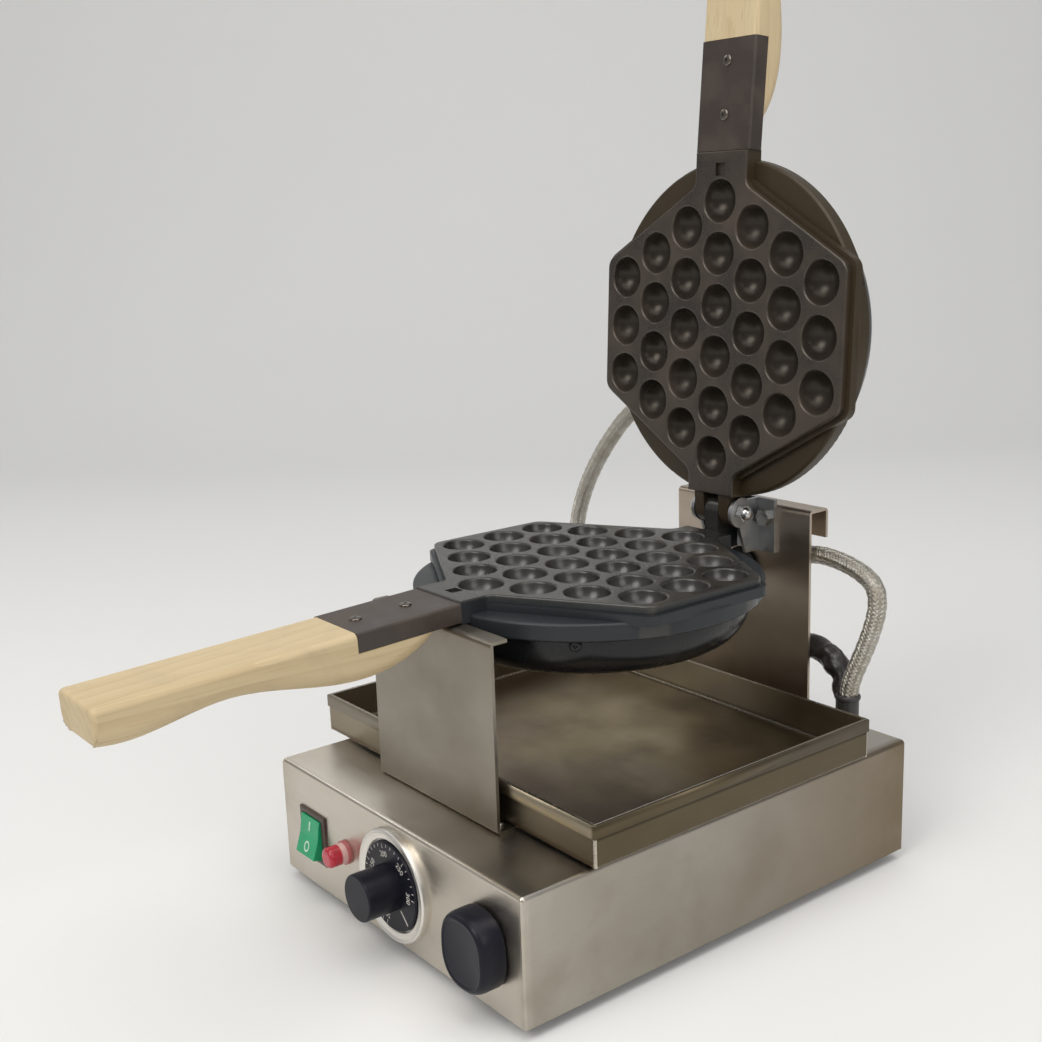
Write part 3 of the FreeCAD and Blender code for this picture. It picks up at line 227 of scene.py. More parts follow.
def zoneFactor(tree, zone, places, coords):
    factor = zone.get("weight", 1.0)
    parts = [span(tree, places[axis], 0.0, 1.0, begin, full) for axis, begin, full in zone["limits"]]
    if "cloud" in zone:
        scale, begin, full = zone["cloud"]
        parts.append(span(tree, noise(tree, coords, scale, 4, 0.5, 0.15), 0.0, 1.0, begin, full))
    if "centre" in zone:
        apart = vectorNode(tree, "MULTIPLY", vectorNode(tree, "SUBTRACT", coords, zone["centre"]), (1, 1, 0))
        away = addNode(tree, "ShaderNodeVectorMath", {0: apart}, operation="LENGTH").outputs["Value"]
        waver = span(tree, noise(tree, coords, 17.0, 4, 0.5), -0.03, 0.03, 0.3, 0.7)
        parts.append(span(tree, plus(tree, away, waver), 0.0, 1.0, *zone["reach"]))
    for part in parts:
        factor = times(tree, part, factor)
    return factor


def brushedSteel(name, tint, stain, blotches, roughness, zones=()):
    mat, tree, shader = startMaterial(name, 0.3, 1.0)
    coords = objectCoords(tree)
    upright = noise(tree, objectCoords(tree, (2, 2, 620)), 1.0, 2)  # level lines on the walls
    flat = noise(tree, objectCoords(tree, (2, 620, 2)), 1.0, 2)  # lines along X on the tops
    facing = addNode(tree, "ShaderNodeSeparateXYZ", {0: addNode(tree, "ShaderNodeNewGeometry").outputs["Normal"]})
    level = mathNode(tree, "ABSOLUTE", facing.outputs["Z"])
    lines = addNode(tree, "ShaderNodeMix", {0: level, 2: upright, 3: flat}).outputs[0]
    cloud = noise(tree, coords, 11.0, 4, 0.55, 0.2)
    smear = noise(tree, objectCoords(tree, (1, 1, 1.6), shift=(0.3, 0.1, 0.2)), 30.0, 3, 0.5, 0.3)
    places = dict(addNode(tree, "ShaderNodeSeparateXYZ", {0: coords}).outputs.items())
    places["Up"] = facing.outputs["Z"]
    colour = blendColours(tree, span(tree, lines, 0.0, 1.0, 0.3, 0.7), tuple(c * 0.96 for c in tint), tint)
    for zone in zones:
        colour = blendColours(tree, zoneFactor(tree, zone, places, coords), colour, zone["colour"])
    dirt = span(tree, cloud, 0.0, blotches, 0.42, 0.72)
    colour = blendColours(tree, dirt, colour, tuple(s / t for s, t in zip(stain, tint)), "MULTIPLY")
    rough = plus(tree, span(tree, lines, *roughness, 0.3, 0.7), span(tree, smear, -0.03, 0.08, 0.35, 0.7))
    feed(shader, Base_Color=colour, Roughness=rough)
    bump(tree, smear, 0.10, 0.0008, shader)  # the sheet isn't quite flat
    return mat


landSettings = {"side": 0.10474, "slant": 0.09045, "face": 0.2085, "shine": 0.60, "sideShine": 0.42}


def nonStick(name, dark, worn, side, cup, cupShine, sheen, stand):
    mat, tree, shader = startMaterial(name, 0.4, 0.0, Specular_Tint=(*sheen, 1))
    face, shine = landSettings["face"], landSettings["shine"]
    back = stand.inverted()
    flat = objectCoords(tree, turn=back.to_euler(), shift=back.to_translation())
    across, along, height = addNode(tree, "ShaderNodeSeparateXYZ", {0: flat}).outputs
    reaches = [minus(tree, mathNode(tree, "ABSOLUTE", across), landSettings["side"])]
    for lean in (0.866, -0.866):
        skew = plus(tree, times(tree, across, 0.5), times(tree, along, lean))
        reaches.append(minus(tree, mathNode(tree, "ABSOLUTE", skew), landSettings["slant"]))
    beyond = mathNode(tree, "MAXIMUM", reaches[0], mathNode(tree, "MAXIMUM", reaches[1], reaches[2]))
    outside = span(tree, beyond, 0.0, 1.0, -0.0008, 0.0002)
    below = span(tree, height, 1.0, 0.0, face - 0.0023, face - 0.0005)
    edge = times(tree, outside, below)  # sides and flange, less rubbed than the land; on the lower plate their bluish colour is a painted reflection
    deep = span(tree, height, 1.0, 0.0, face - 0.0070, face - 0.0005)
    hollow = times(tree, deep, minus(tree, 1.0, outside))
    patch = noise(tree, objectCoords(tree), 22.0, 5, 0.6, 0.3)
    grain = noise(tree, objectCoords(tree), 900.0, 2)
    peel = noise(tree, objectCoords(tree), 210.0, 3, 0.55)
    colour = blendColours(tree, span(tree, patch, 0.0, 1.0, 0.38, 0.7), dark, worn)
    # painted shade: the cups take a darker colour of their own than the land around them
    colour = blendColours(tree, hollow, colour, cup)
    gloss = plus(tree, span(tree, patch, 0.22, 0.36, 0.3, 0.7), span(tree, grain, -0.04, 0.07))
    rough = plus(tree, gloss, times(tree, edge, 0.12))
    duller = times(tree, hollow, shine - cupShine)
    level = minus(tree, span(tree, edge, shine, landSettings["sideShine"]), duller)
    feed(shader, Base_Color=blendColours(tree, edge, colour, side), Roughness=rough, Specular_IOR_Level=level)
    soft = bump(tree, peel, 0.10, 0.0006, shader)
    bump(tree, grain, 0.12, 0.0002, shader, soft)
    return mat


def paleWood(name, turn, heart):
    mat, tree, shader = startMaterial(name, 0.55, 0.0, Specular_IOR_Level=0.35)
    place = objectCoords(tree, (1, 1, 1), turn, heart)  # the grain runs along the mapped Y axis
    stretch = addNode(tree, "ShaderNodeMapping", {"Vector": place, "Scale": (1, 0.06, 1)}).outputs[0]
    waver = noise(tree, stretch, 34.0, 3, 0.5)
    rings = addNode(tree, "ShaderNodeTexWave", {
        "Vector": stretch, "Scale": 46.0, "Distortion": 5.0, "Detail": 3.0, "Detail Scale": 1.6,
        "Detail Roughness": 0.55}, wave_type="RINGS", rings_direction="Y", wave_profile="SAW").outputs["Fac"]
    drawn = addNode(tree, "ShaderNodeMapping", {"Vector": place, "Scale": (1, 0.03, 1)}).outputs[0]
    pores = noise(tree, drawn, 900.0, 2)
    colour = ramp(tree, rings, (0.0, (0.575, 0.455, 0.272)), (0.6, (0.56, 0.44, 0.26)), (0.95, (0.525, 0.403, 0.234)))
    colour = blendColours(tree, span(tree, waver, 0.0, 0.75, 0.35, 0.7), colour, (0.61, 0.50, 0.32))
    colour = blendColours(tree, span(tree, pores, 0.0, 0.45, 0.55, 0.78), colour, (0.37, 0.26, 0.14))
    grime = noise(tree, place, 19.0, 5, 0.6, 0.5)
    colour = blendColours(tree, span(tree, grime, 0.0, 0.55, 0.52, 0.78), colour, (0.36, 0.28, 0.19))
    feed(shader, Base_Color=colour, Roughness=span(tree, rings, 0.51, 0.60))
    soft = bump(tree, rings, 0.02, 0.0003, shader)
    bump(tree, pores, 0.10, 0.0002, shader, soft)
    return mat


def satinPaint(name, dark, rubbed, roughness, **sockets):
    mat, tree, shader = startMaterial(name, roughness, 0.0, **sockets)
    cloud = noise(tree, objectCoords(tree), 38.0, 4, 0.6)
    fine = noise(tree, objectCoords(tree), 700.0, 2)
    feed(shader, Base_Color=blendColours(tree, span(tree, cloud, 0.0, 1.0, 0.4, 0.75), dark, rubbed),
         Roughness=span(tree, cloud, roughness - 0.06, roughness + 0.10, 0.3, 0.7))
    bump(tree, fine, 0.10, 0.0002, shader)
    return mat


def mouldedPlastic(name, colour, shade, roughness, **sockets):
    mat, tree, shader = startMaterial(name, roughness, 0.0, **sockets)
    fine = noise(tree, objectCoords(tree), 1100.0, 2)
    cloud = noise(tree, objectCoords(tree), 60.0, 3)
    feed(shader, Base_Color=blendColours(tree, span(tree, cloud, 0.0, 1.0, 0.35, 0.7), colour, shade),
         Roughness=span(tree, fine, roughness - 0.04, roughness + 0.06))
    bump(tree, fine, 0.06, 0.0001, shader)
    return mat


def zincPlate(name, colour, shade):
    mat, tree, shader = startMaterial(name, 0.4, 1.0)
    spangle = addNode(tree, "ShaderNodeTexVoronoi", {"Vector": objectCoords(tree), "Scale": 160.0}).outputs["Color"]
    flake = addNode(tree, "ShaderNodeSeparateXYZ", {0: spangle}).outputs["X"]
    cloud = noise(tree, objectCoords(tree), 45.0, 4, 0.6)
    tone = plus(tree, span(tree, flake, 0.0, 0.6), span(tree, cloud, -0.1, 0.4, 0.3, 0.7))
    feed(shader, Base_Color=blendColours(tree, tone, colour, shade), Roughness=span(tree, tone, 0.28, 0.48))
    bump(tree, cloud, 0.06, 0.0004, shader)
    return mat


def brightSteel(name, colour):
    mat, tree, shader = startMaterial(name, 0.2, 1.0)
    cloud = noise(tree, objectCoords(tree), 240.0, 4, 0.6)
    worn = blendColours(tree, span(tree, cloud, 0.0, 1.0, 0.35, 0.7), colour, tuple(c * 0.72 for c in colour))
    feed(shader, Base_Color=worn, Roughness=span(tree, cloud, 0.14, 0.34, 0.3, 0.7))
    return mat


def redLens(name, red, pale, band):
    mat, tree, shader = startMaterial(name, 0.12, 0.0, Coat_Weight=0.4)
    depth = addNode(tree, "ShaderNodeSeparateXYZ", {0: objectCoords(tree)}).outputs["Y"]
    rim = span(tree, depth, 0.0, 1.0, *band)
    cloud = noise(tree, objectCoords(tree), 160.0, 3)
    body = blendColours(tree, span(tree, cloud, 0.0, 1.0, 0.3, 0.7), red, tuple(c * 0.72 for c in red))
    feed(shader, Base_Color=blendColours(tree, rim, body, pale), Roughness=span(tree, cloud, 0.08, 0.18))
    return mat


rightWall = ("X", 0.118, 0.1245)
caseLightShadeAndBlotches = [
    # painted light: the front face and front fold of the case lighter than its top and sides
    {"colour": (0.60, 0.555, 0.485), "limits": [("Y", -0.1500, -0.1555)]},
    # painted shade: the right wall darker, darkest towards the back
    {"colour": (0.36, 0.335, 0.295), "limits": [rightWall, ("Y", -0.160, -0.060)]},
    {"colour": (0.215, 0.168, 0.112), "limits": [rightWall, ("Y", -0.040, 0.150)]},
    {"colour": (0.27, 0.235, 0.185), "limits": [rightWall], "cloud": (17.0, 0.50, 0.66), "weight": 0.45},
    # painted highlight on the top strip in front of the front support, strongest on its left
    {"colour": (0.97, 0.91, 0.81), "limits": [("Up", 0.6, 0.95), ("X", 0.085, -0.005), ("Y", -0.100, -0.130)]}]
# painted light: the rear support lighter than the front one
rearSupportPaintedLight = [{"colour": (0.50, 0.43, 0.355), "limits": [("Y", 0.100, 0.125)]}]
trayFloor = ("Z", 0.0890, 0.0868)
trayStainsAndPaintedLight = [
    {"colour": (0.208, 0.158, 0.106), "limits": [trayFloor]},
    # painted highlight: a pool of light on the middle of the floor
    {"colour": (0.350, 0.285, 0.170), "limits": [trayFloor], "centre": (-0.005, 0.045, 0), "reach": (0.115, 0.035)},
    {"colour": (0.11, 0.075, 0.048), "limits": [trayFloor], "cloud": (9.0, 0.50, 0.72), "weight": 0.8},
    # painted highlight on the inner face of the back wall, on its left part
    {"colour": (0.78, 0.72, 0.62), "limits": [("Y", 0.104, 0.1095), ("X", 0.075, 0.015), ("Z", 0.087, 0.090)]},
    # painted shade on the outside of the right wall
    {"colour": (0.125, 0.100, 0.064), "limits": [("X", 0.1272, 0.1290)]},
    # painted shadow: a dark line on the right wall under the folded hem
    {"colour": (0.045, 0.036, 0.024), "limits": [("X", 0.1290, 0.1298), ("Z", 0.0998, 0.1008), ("Z", 0.1020, 0.1012)],
     "weight": 0.8}]

caseSteel = brushedSteel("caseSteel", (0.46, 0.43, 0.38), (0.34, 0.30, 0.24), 0.6, (0.30, 0.36), caseLightShadeAndBlotches)
# the supports' steel is the case's steel painted darker, as painted shade
shadedSupportSteel = brushedSteel("shadedSupportSteel", (0.31, 0.282, 0.24), (0.21, 0.18, 0.135), 0.7, (0.35, 0.41),
                            rearSupportPaintedLight)
# the tray's steel is the case's steel painted darker, as painted shade; its stains are in its zones
shadedTraySteel = brushedSteel("shadedTraySteel", (0.29, 0.25, 0.185), (0.23, 0.19, 0.125), 0.7, (0.34, 0.40), trayStainsAndPaintedLight)
bezelSteel = brushedSteel("bezelSteel", (0.86, 0.83, 0.775), (0.78, 0.745, 0.68), 0.3, (0.38, 0.44))
# the lower plate's bluish side colour is a painted reflection
lowerCoat = nonStick("lowerCoat", (0.019, 0.018, 0.016), (0.045, 0.040, 0.032), (0.016, 0.019, 0.022),
                     (0.026, 0.025, 0.023), 0.60, (1, 1, 1), stands["lower"])
upperCoat = nonStick("upperCoat", (0.028, 0.023, 0.020), (0.060, 0.046, 0.035), (0.034, 0.024, 0.012),
                     (0.021, 0.016, 0.012), 0.36, (1.0, 0.90, 0.79), stands["upper"])
coverCoat = satinPaint("coverCoat", (0.007, 0.008, 0.009), (0.014, 0.013, 0.013), 0.24, Specular_IOR_Level=0.36)
channelCoat = satinPaint("channelCoat", (0.040, 0.029, 0.023), (0.070, 0.052, 0.040), 0.38)
lowerWood = paleWood("lowerWood", (0, 0, 0), (0.05, 0, -0.13))
upperWood = paleWood("upperWood", (math.radians(90), 0, 0), (0.05, 0, 0.12))
knobBlack = mouldedPlastic("knobBlack", (0.0080, 0.0082, 0.0140), (0.013, 0.0132, 0.021), 0.34,
                           Specular_IOR_Level=0.2)
frameBrown = mouldedPlastic("frameBrown", (0.060, 0.040, 0.032), (0.085, 0.055, 0.042), 0.35)
rockerGreen = mouldedPlastic("rockerGreen", (0.0, 0.30, 0.115), (0.0, 0.36, 0.15), 0.22)
lensRed = redLens("lensRed", (0.60, 0.022, 0.050), (0.80, 0.50, 0.48), (-0.1622, -0.1612))
ringPale = mouldedPlastic("ringPale", (0.52, 0.15, 0.15), (0.44, 0.11, 0.12), 0.25)
markPale = mouldedPlastic("markPale", (0.72, 0.70, 0.65), (0.62, 0.60, 0.55), 0.5)
markGreen = mouldedPlastic("markGreen", (0.62, 0.80, 0.66), (0.54, 0.74, 0.58), 0.35)
caseGrey = mouldedPlastic("caseGrey", (0.15, 0.14, 0.13), (0.19, 0.18, 0.17), 0.5)
blockWhite = mouldedPlastic("blockWhite", (0.78, 0.77, 0.72), (0.70, 0.69, 0.64), 0.4)
glandDark = mouldedPlastic("glandDark", (0.035, 0.033, 0.031), (0.05, 0.046, 0.042), 0.45)
footRubber = mouldedPlastic("footRubber", (0.022, 0.022, 0.022), (0.035, 0.034, 0.033), 0.75)
zinc = zincPlate("zinc", (0.33, 0.335, 0.34), (0.46, 0.465, 0.465))
plated = brightSteel("plated", (0.70, 0.69, 0.67))
dullSteel = brightSteel("dullSteel", (0.22, 0.19, 0.165))
heaterDark = brightSteel("heaterDark", (0.24, 0.22, 0.20))

dress(caseSteel, "base_housing", "rear_panel")
dress(shadedSupportSteel, "front_support", "rear_support")
dress(bezelSteel, "thermostat_bezel")
dress(shadedTraySteel, "drip_tray")
dress(lowerCoat, "lower_plate")
dress(upperCoat, "upper_plate")
dress(coverCoat, "lower_cover", "upper_cover")
dress(channelCoat, "lower_handle_channel", "upper_handle_channel")
dress(lowerWood, "lower_grip")
dress(upperWood, "upper_grip")
dress(knobBlack, "thermostat_knob", "timer_knob")
dress(frameBrown, "switch_body")
dress(rockerGreen, "switch_rocker")
dress(lensRed, "lamp_lens")
dress(ringPale, "lamp_holder")
dress(caseGrey, "thermostat_body", "timer_body")
dress(blockWhite, "terminal_block")
dress(glandDark, "mains_gland", "lower_hose_gland", "upper_hose_gland")
dress(footRubber, "rubber_feet")
dress(zinc, "hinge_bracket", "bottom_cover", "lower_hose_socket", "upper_hose_socket")
dress(plated, "foot_screws", "support_screws", "bracket_bolts", "hinge_pin", "hinge_acorn_nuts", "lower_cover_screws",
      "upper_cover_screws", "lower_handle_screws", "upper_handle_screws", "thermostat_shaft", "timer_shaft")
dress(heaterDark, "lower_heater", "upper_heater")
print("finishes on all nodes")


# Geometry Nodes helpers

def startTree(name, **sockets):
    tree = bpy.data.node_groups.new(name, "GeometryNodeTree")
    tree.interface.new_socket("Geometry", in_out="INPUT", socket_type="NodeSocketGeometry")
    for kind, labels in sockets.items():
        for label in labels.split():
            tree.interface.new_socket(label, in_out="INPUT", socket_type="NodeSocket" + kind)
    tree.interface.new_socket("Geometry", in_out="OUTPUT", socket_type="NodeSocketGeometry")
    return tree, addNode(tree, "NodeGroupInput").outputs


def endTree(tree, geometrySocket, mat):
    real = geo(tree, "RealizeInstances", {0: geometrySocket})
    addNode(tree, "NodeGroupOutput", {0: geo(tree, "SetMaterial", {"Geometry": real, "Material": mat})})


def tubeAlong(tree, line, step, around, radius):
    line = geo(tree, "ResampleCurve", {"Curve": line, "Length": step}, mode="LENGTH")
    ring = geo(tree, "CurvePrimitiveCircle", {"Resolution": around, "Radius": radius}, mode="RADIUS")
    return geo(tree, "CurveToMesh", {"Curve": line, "Profile Curve": ring, "Fill Caps": True})


def growMesh(tree, name, seed, values):
    # values has the sockets' names, which are those of the piece's settings
    holder = hold(name, seed)
    grow = holder.modifiers.new("grow", "NODES")
    grow.node_group = tree
    for item in tree.interface.items_tree:
        if item.in_out == "INPUT" and item.name in values:
            grow[item.identifier] = values[item.name]
    return meshOf(holder)


def pointCurve(name, kind, places):
    curve = bpy.data.curves.new(name, "CURVE")
    curve.dimensions = "3D"
    spline = curve.splines.new(kind)
    spline.points.add(len(places) - 1)
    for point, place in zip(spline.points, places):
        point.co = (*place, 1)
    return curve, spline


# Braided hoses from the heater covers to the base

hoseSettings = {
    "radius": 0.0061, "core": 0.0051, "strands": 10, "pitch": 0.026, "lift": 0.00030,
    "strandHalf": 0.00135, "strandThick": 0.00034, "strandSides": 6, "step": 0.0011, "coreStep": 0.0033,
    "coreSides": 20, "perPoint": 24}

hoseRoutes = {
    "lower": [
        (0, 0.110, 0.1775), (0, 0.136, 0.1775), (0.012, 0.1505, 0.180), (0.034, 0.1545, 0.188), (0.057, 0.152, 0.194),
        (0.080, 0.1488, 0.193), (0.097, 0.146, 0.1895), (0.1088, 0.1436, 0.1838), (0.1130, 0.1415, 0.1725),
        (0.1105, 0.1396, 0.157), (0.1053, 0.1372, 0.1395), (0.0988, 0.1315, 0.118), (0.0988, 0.1315, 0.1008)],
    "upper": [
        (-0.09526, 0.1408, 0.2834), (-0.1125, 0.1403, 0.2734), (-0.136, 0.140, 0.250), (-0.160, 0.1405, 0.219),
        (-0.176, 0.1415, 0.187), (-0.181, 0.143, 0.159), (-0.171, 0.146, 0.134), (-0.146, 0.149, 0.114),
        (-0.108, 0.1505, 0.104), (-0.066, 0.1505, 0.1025), (-0.023, 0.1505, 0.1075), (0.018, 0.1505, 0.1185),
        (0.042, 0.1503, 0.1275), (0.0626, 0.1495, 0.130), (0.0773, 0.148, 0.1228), (0.086, 0.1462, 0.1088),
        (0.086, 0.1462, 0.0942)]}


def hoseLine(name, route):
    curve, spline = pointCurve(name + "Line", "NURBS", route)
    spline.order_u = 3
    spline.use_endpoint_u = True
    curve.resolution_u = hoseSettings["perPoint"]
    return meshOf(hold(name + "Line", curve))


def braidMaterial():
    mat, tree, shader = startMaterial("braidWire", 0.36, 1.0)
    across = addNode(tree, "ShaderNodeAttribute", attribute_name="across").outputs["Fac"]
    wires = mathNode(tree, "SINE", times(tree, across, 38.0))
    cloud = noise(tree, objectCoords(tree), 120.0, 4, 0.6)
    colour = blendColours(tree, span(tree, cloud, 0.0, 1.0, 0.35, 0.7), (0.68, 0.65, 0.59), (0.50, 0.46, 0.385))
    colour = blendColours(tree, span(tree, wires, 0.0, 0.60, 0.2, -1.0), colour, (0.12, 0.105, 0.08))
    feed(shader, Base_Color=colour, Roughness=span(tree, cloud, 0.26, 0.46, 0.3, 0.7))
    bump(tree, wires, 0.4, 0.0002, shader)
    return mat


braidWire = braidMaterial()
hoseCore = mouldedPlastic("hoseCore", (0.035, 0.030, 0.024), (0.055, 0.048, 0.038), 0.6)


def braidTree():
    tree, given = startTree("braidedSleeve", Int="strands", Float="hand sleeve pitch lift strandHalf strandThick step")
    line = geo(tree, "MeshToCurve", {0: given["Geometry"]})
    line = geo(tree, "ResampleCurve", {"Curve": line, "Length": given["step"]}, mode="LENGTH")
    copies = addNode(tree, "GeometryNodeDuplicateElements", {"Geometry": line, "Amount": given["strands"]},
                     domain="SPLINE")
    normal = geo(tree, "InputNormal")
    side = vectorNode(tree, "CROSS_PRODUCT", geo(tree, "InputTangent"), normal)
    along = addNode(tree, "GeometryNodeSplineParameter").outputs["Length"]
    wind = mathNode(tree, "DIVIDE", times(tree, along, 2 * math.pi), given["pitch"])
    order = times(tree, copies.outputs["Duplicate Index"], 2 * math.pi)
    share = mathNode(tree, "DIVIDE", order, given["strands"])
    angle = plus(tree, times(tree, wind, given["hand"]), share)
    weave = mathNode(tree, "COSINE", times(tree, wind, given["strands"]))
    swell = times(tree, times(tree, weave, given["lift"]), given["hand"])
    reach = plus(tree, given["sleeve"], swell)
    outward = vectorNode(tree, "ADD", scaled(tree, normal, mathNode(tree, "COSINE", angle)),
                         scaled(tree, side, mathNode(tree, "SINE", angle)))
    kept = geo(tree, "StoreNamedAttribute",
               {"Geometry": copies.outputs["Geometry"], "Name": "outward", "Value": outward},
               data_type="FLOAT_VECTOR", domain="POINT")
    moved = geo(tree, "SetPosition", {"Geometry": kept, "Offset": scaled(tree, outward, reach)})
    named = geo(tree, "InputNamedAttribute", {"Name": "outward"}, data_type="FLOAT_VECTOR")
    turned = geo(tree, "SetCurveNormal", {"Curve": moved, "Normal": named}, mode="FREE")
    ring = geo(tree, "CurvePrimitiveCircle", {"Resolution": hoseSettings["strandSides"], "Radius": 1.0}, mode="RADIUS")
    where = addNode(tree, "ShaderNodeSeparateXYZ", {0: geo(tree, "InputPosition")})
    ring = geo(tree, "StoreNamedAttribute", {"Geometry": ring, "Name": "across", "Value": where.outputs["Y"]},
               data_type="FLOAT", domain="POINT")
    size = addNode(tree, "ShaderNodeCombineXYZ", {"X": given["strandThick"], "Y": given["strandHalf"], "Z": 1.0})
    ring = geo(tree, "Transform", {"Geometry": ring, "Scale": size.outputs[0]})
    strands = geo(tree, "CurveToMesh", {"Curve": turned, "Profile Curve": ring, "Fill Caps": True})
    endTree(tree, geo(tree, "SetShadeSmooth", {"Geometry": strands}), braidWire)
    return tree


def coreTree():
    tree, given = startTree("hoseTube", Float="core coreStep")
    line = geo(tree, "MeshToCurve", {0: given["Geometry"]})
    tube = tubeAlong(tree, line, given["coreStep"], hoseSettings["coreSides"], given["core"])
    endTree(tree, geo(tree, "SetShadeSmooth", {"Geometry": tube}), hoseCore)
    return tree


def buildHoses(settings):
    sleeve, tube = braidTree(), coreTree()
    reach = settings["radius"] - settings["lift"] - settings["strandThick"]
    for name, route in hoseRoutes.items():
        line = hoseLine(name, route)
        points = [tuple(vertex.co) for vertex in line.vertices]
        length = sum((Vector(b) - Vector(a)).length for a, b in zip(points, points[1:]))
        layers = [growMesh(tube, name + "Core", line.copy(), settings)]
        for hand in (-1.0, 1.0):
            layers.append(growMesh(sleeve, name + "Strands", line.copy(), {**settings, "hand": hand, "sleeve": reach}))
        piece = joinMeshes(name + "BraidedHose", layers)
        if name == "upper":
            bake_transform(piece)
        else:
            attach(piece, "base")
        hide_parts(name + "_hose")
        print(name, "hose", round(length, 4), "m,", len(piece.data.polygons), "faces")


def joinMeshes(name, layers):
    mats = []
    whole = bmesh.new()
    for layer in layers:
        start = len(mats)
        mats.extend(layer.materials)
        for polygon in layer.polygons:
            polygon.material_index += start
        whole.from_mesh(layer)
        bpy.data.meshes.remove(layer)
    mesh = bpy.data.meshes.new(name)
    whole.to_mesh(mesh)
    whole.free()
    for mat in mats:
        mesh.materials.append(mat)
    return makePiece(name, mesh, None)


buildHoses(hoseSettings)
print("hoses braided")


# Turned and flat meshes

def circle(reach, sides):
    turns = [2 * math.pi * k / sides for k in range(sides)]
    return [(reach * math.cos(turn), reach * math.sin(turn)) for turn in turns]


def lathe(name, profile, sides):
    corners, faces, rings = [], [], []
    for radius, height in profile:
        count = sides if radius > markGap else 1
        rings.append([len(corners) + k for k in range(count)])
        corners += [(x, y, height) for x, y in circle(radius, sides)[:count]]
    for one, two in zip(rings, rings[1:]):
        for k in range(sides):
            after = (k + 1) % sides
            near = (one[k], one[after]) if len(one) > 1 else (one[0],)
            far = (two[after], two[k]) if len(two) > 1 else (two[0],)
            faces.append(near + far)
    mesh = bpy.data.meshes.new(name)
    mesh.from_pydata(corners, [], faces)
    return mesh


def insideLoop(spot, loop):
    crossed = False
    for one, two in zip(loop, loop[1:] + loop[:1]):
        if (one.y > spot.y) != (two.y > spot.y):
            if spot.x < one.x + (two.x - one.x) * (spot.y - one.y) / (two.y - one.y):
                crossed = not crossed
    return crossed


def fillFlat(shell, outer, holes):
    loops = [outer, *holes]
    corners = [vertex for loop in loops for vertex in loop]
    edges, start = [], 0
    for loop in loops:
        edges += [(start + k, start + (k + 1) % len(loop)) for k in range(len(loop))]
        start += len(loop)
    outlines = [[vertex.co.xy for vertex in loop] for loop in loops]
    circles = []
    for outline in outlines[1:]:
        centre = sum(outline, Vector((0, 0))) / len(outline)
        circles.append((centre, max((spot - centre).length for spot in outline), outline))
    spots, _, triangles, sources, _, _ = geometry.delaunay_2d_cdt(
        [vertex.co.xy for vertex in corners], edges, [], 0, 1e-8)
    for triangle in triangles:
        middle = sum((spots[k] for k in triangle), Vector((0, 0))) / len(triangle)
        holed = any((middle - centre).length < reach and insideLoop(middle, outline)
                    for centre, reach, outline in circles)
        if not holed and insideLoop(middle, outlines[0]):
            shell.faces.new([corners[sources[k][0]] for k in triangle])


def plainMesh(name, shell):
    # corners and faces only, so no normals from the CAD file come along
    shell.verts.index_update()
    mesh = bpy.data.meshes.new(name)
    faces = [[vertex.index for vertex in polygon.verts] for polygon in shell.faces]
    mesh.from_pydata([vertex.co for vertex in shell.verts], [], faces)
    shell.free()
    return mesh


def cleanMesh(mesh, gap):
    shell = bmesh.new()
    shell.from_mesh(mesh)
    bmesh.ops.remove_doubles(shell, verts=shell.verts, dist=gap)
    bmesh.ops.recalc_face_normals(shell, faces=shell.faces)
    shell.to_mesh(mesh)
    shell.free()
    return mesh


def shadeMesh(mesh, degrees):
    for polygon in mesh.polygons:
        polygon.use_smooth = True
    mesh.set_sharp_from_angle(angle=math.radians(degrees))
    return mesh


# Cup plates: the CAD plates with a rounded lip on each cup

plateSettings = {
    "face": 0.2085, "pitch": 0.033, "columns": 7, "longest": 6, "sides": 48,
    "ball": 0.013569, "depth": 0.0122, "lip": 0.0015, "lipSteps": 5, "bowlSteps": 11, "sharp": 38,
    "ballGap": 2e-4, "seamGap": 3e-6}


def cupProfile(settings):
    ball, lip, lipSteps, bowlSteps = (settings[key] for key in ("ball", "lip", "lipSteps", "bowlSteps"))
    rise = ball - settings["depth"]  # the ball's centre stands this far above the face
    rim = math.sqrt((ball + lip) ** 2 - (rise + lip) ** 2)
    lean = math.asin(rim / (ball + lip))
    rounds = [(rim - lip * math.sin(lean * k / lipSteps), lip * math.cos(lean * k / lipSteps) - lip)
              for k in range(lipSteps)]
    bowl = [(ball * math.sin(lean * k / bowlSteps), rise - ball * math.cos(lean * k / bowlSteps))
            for k in range(bowlSteps, -1, -1)]
    return rounds + bowl


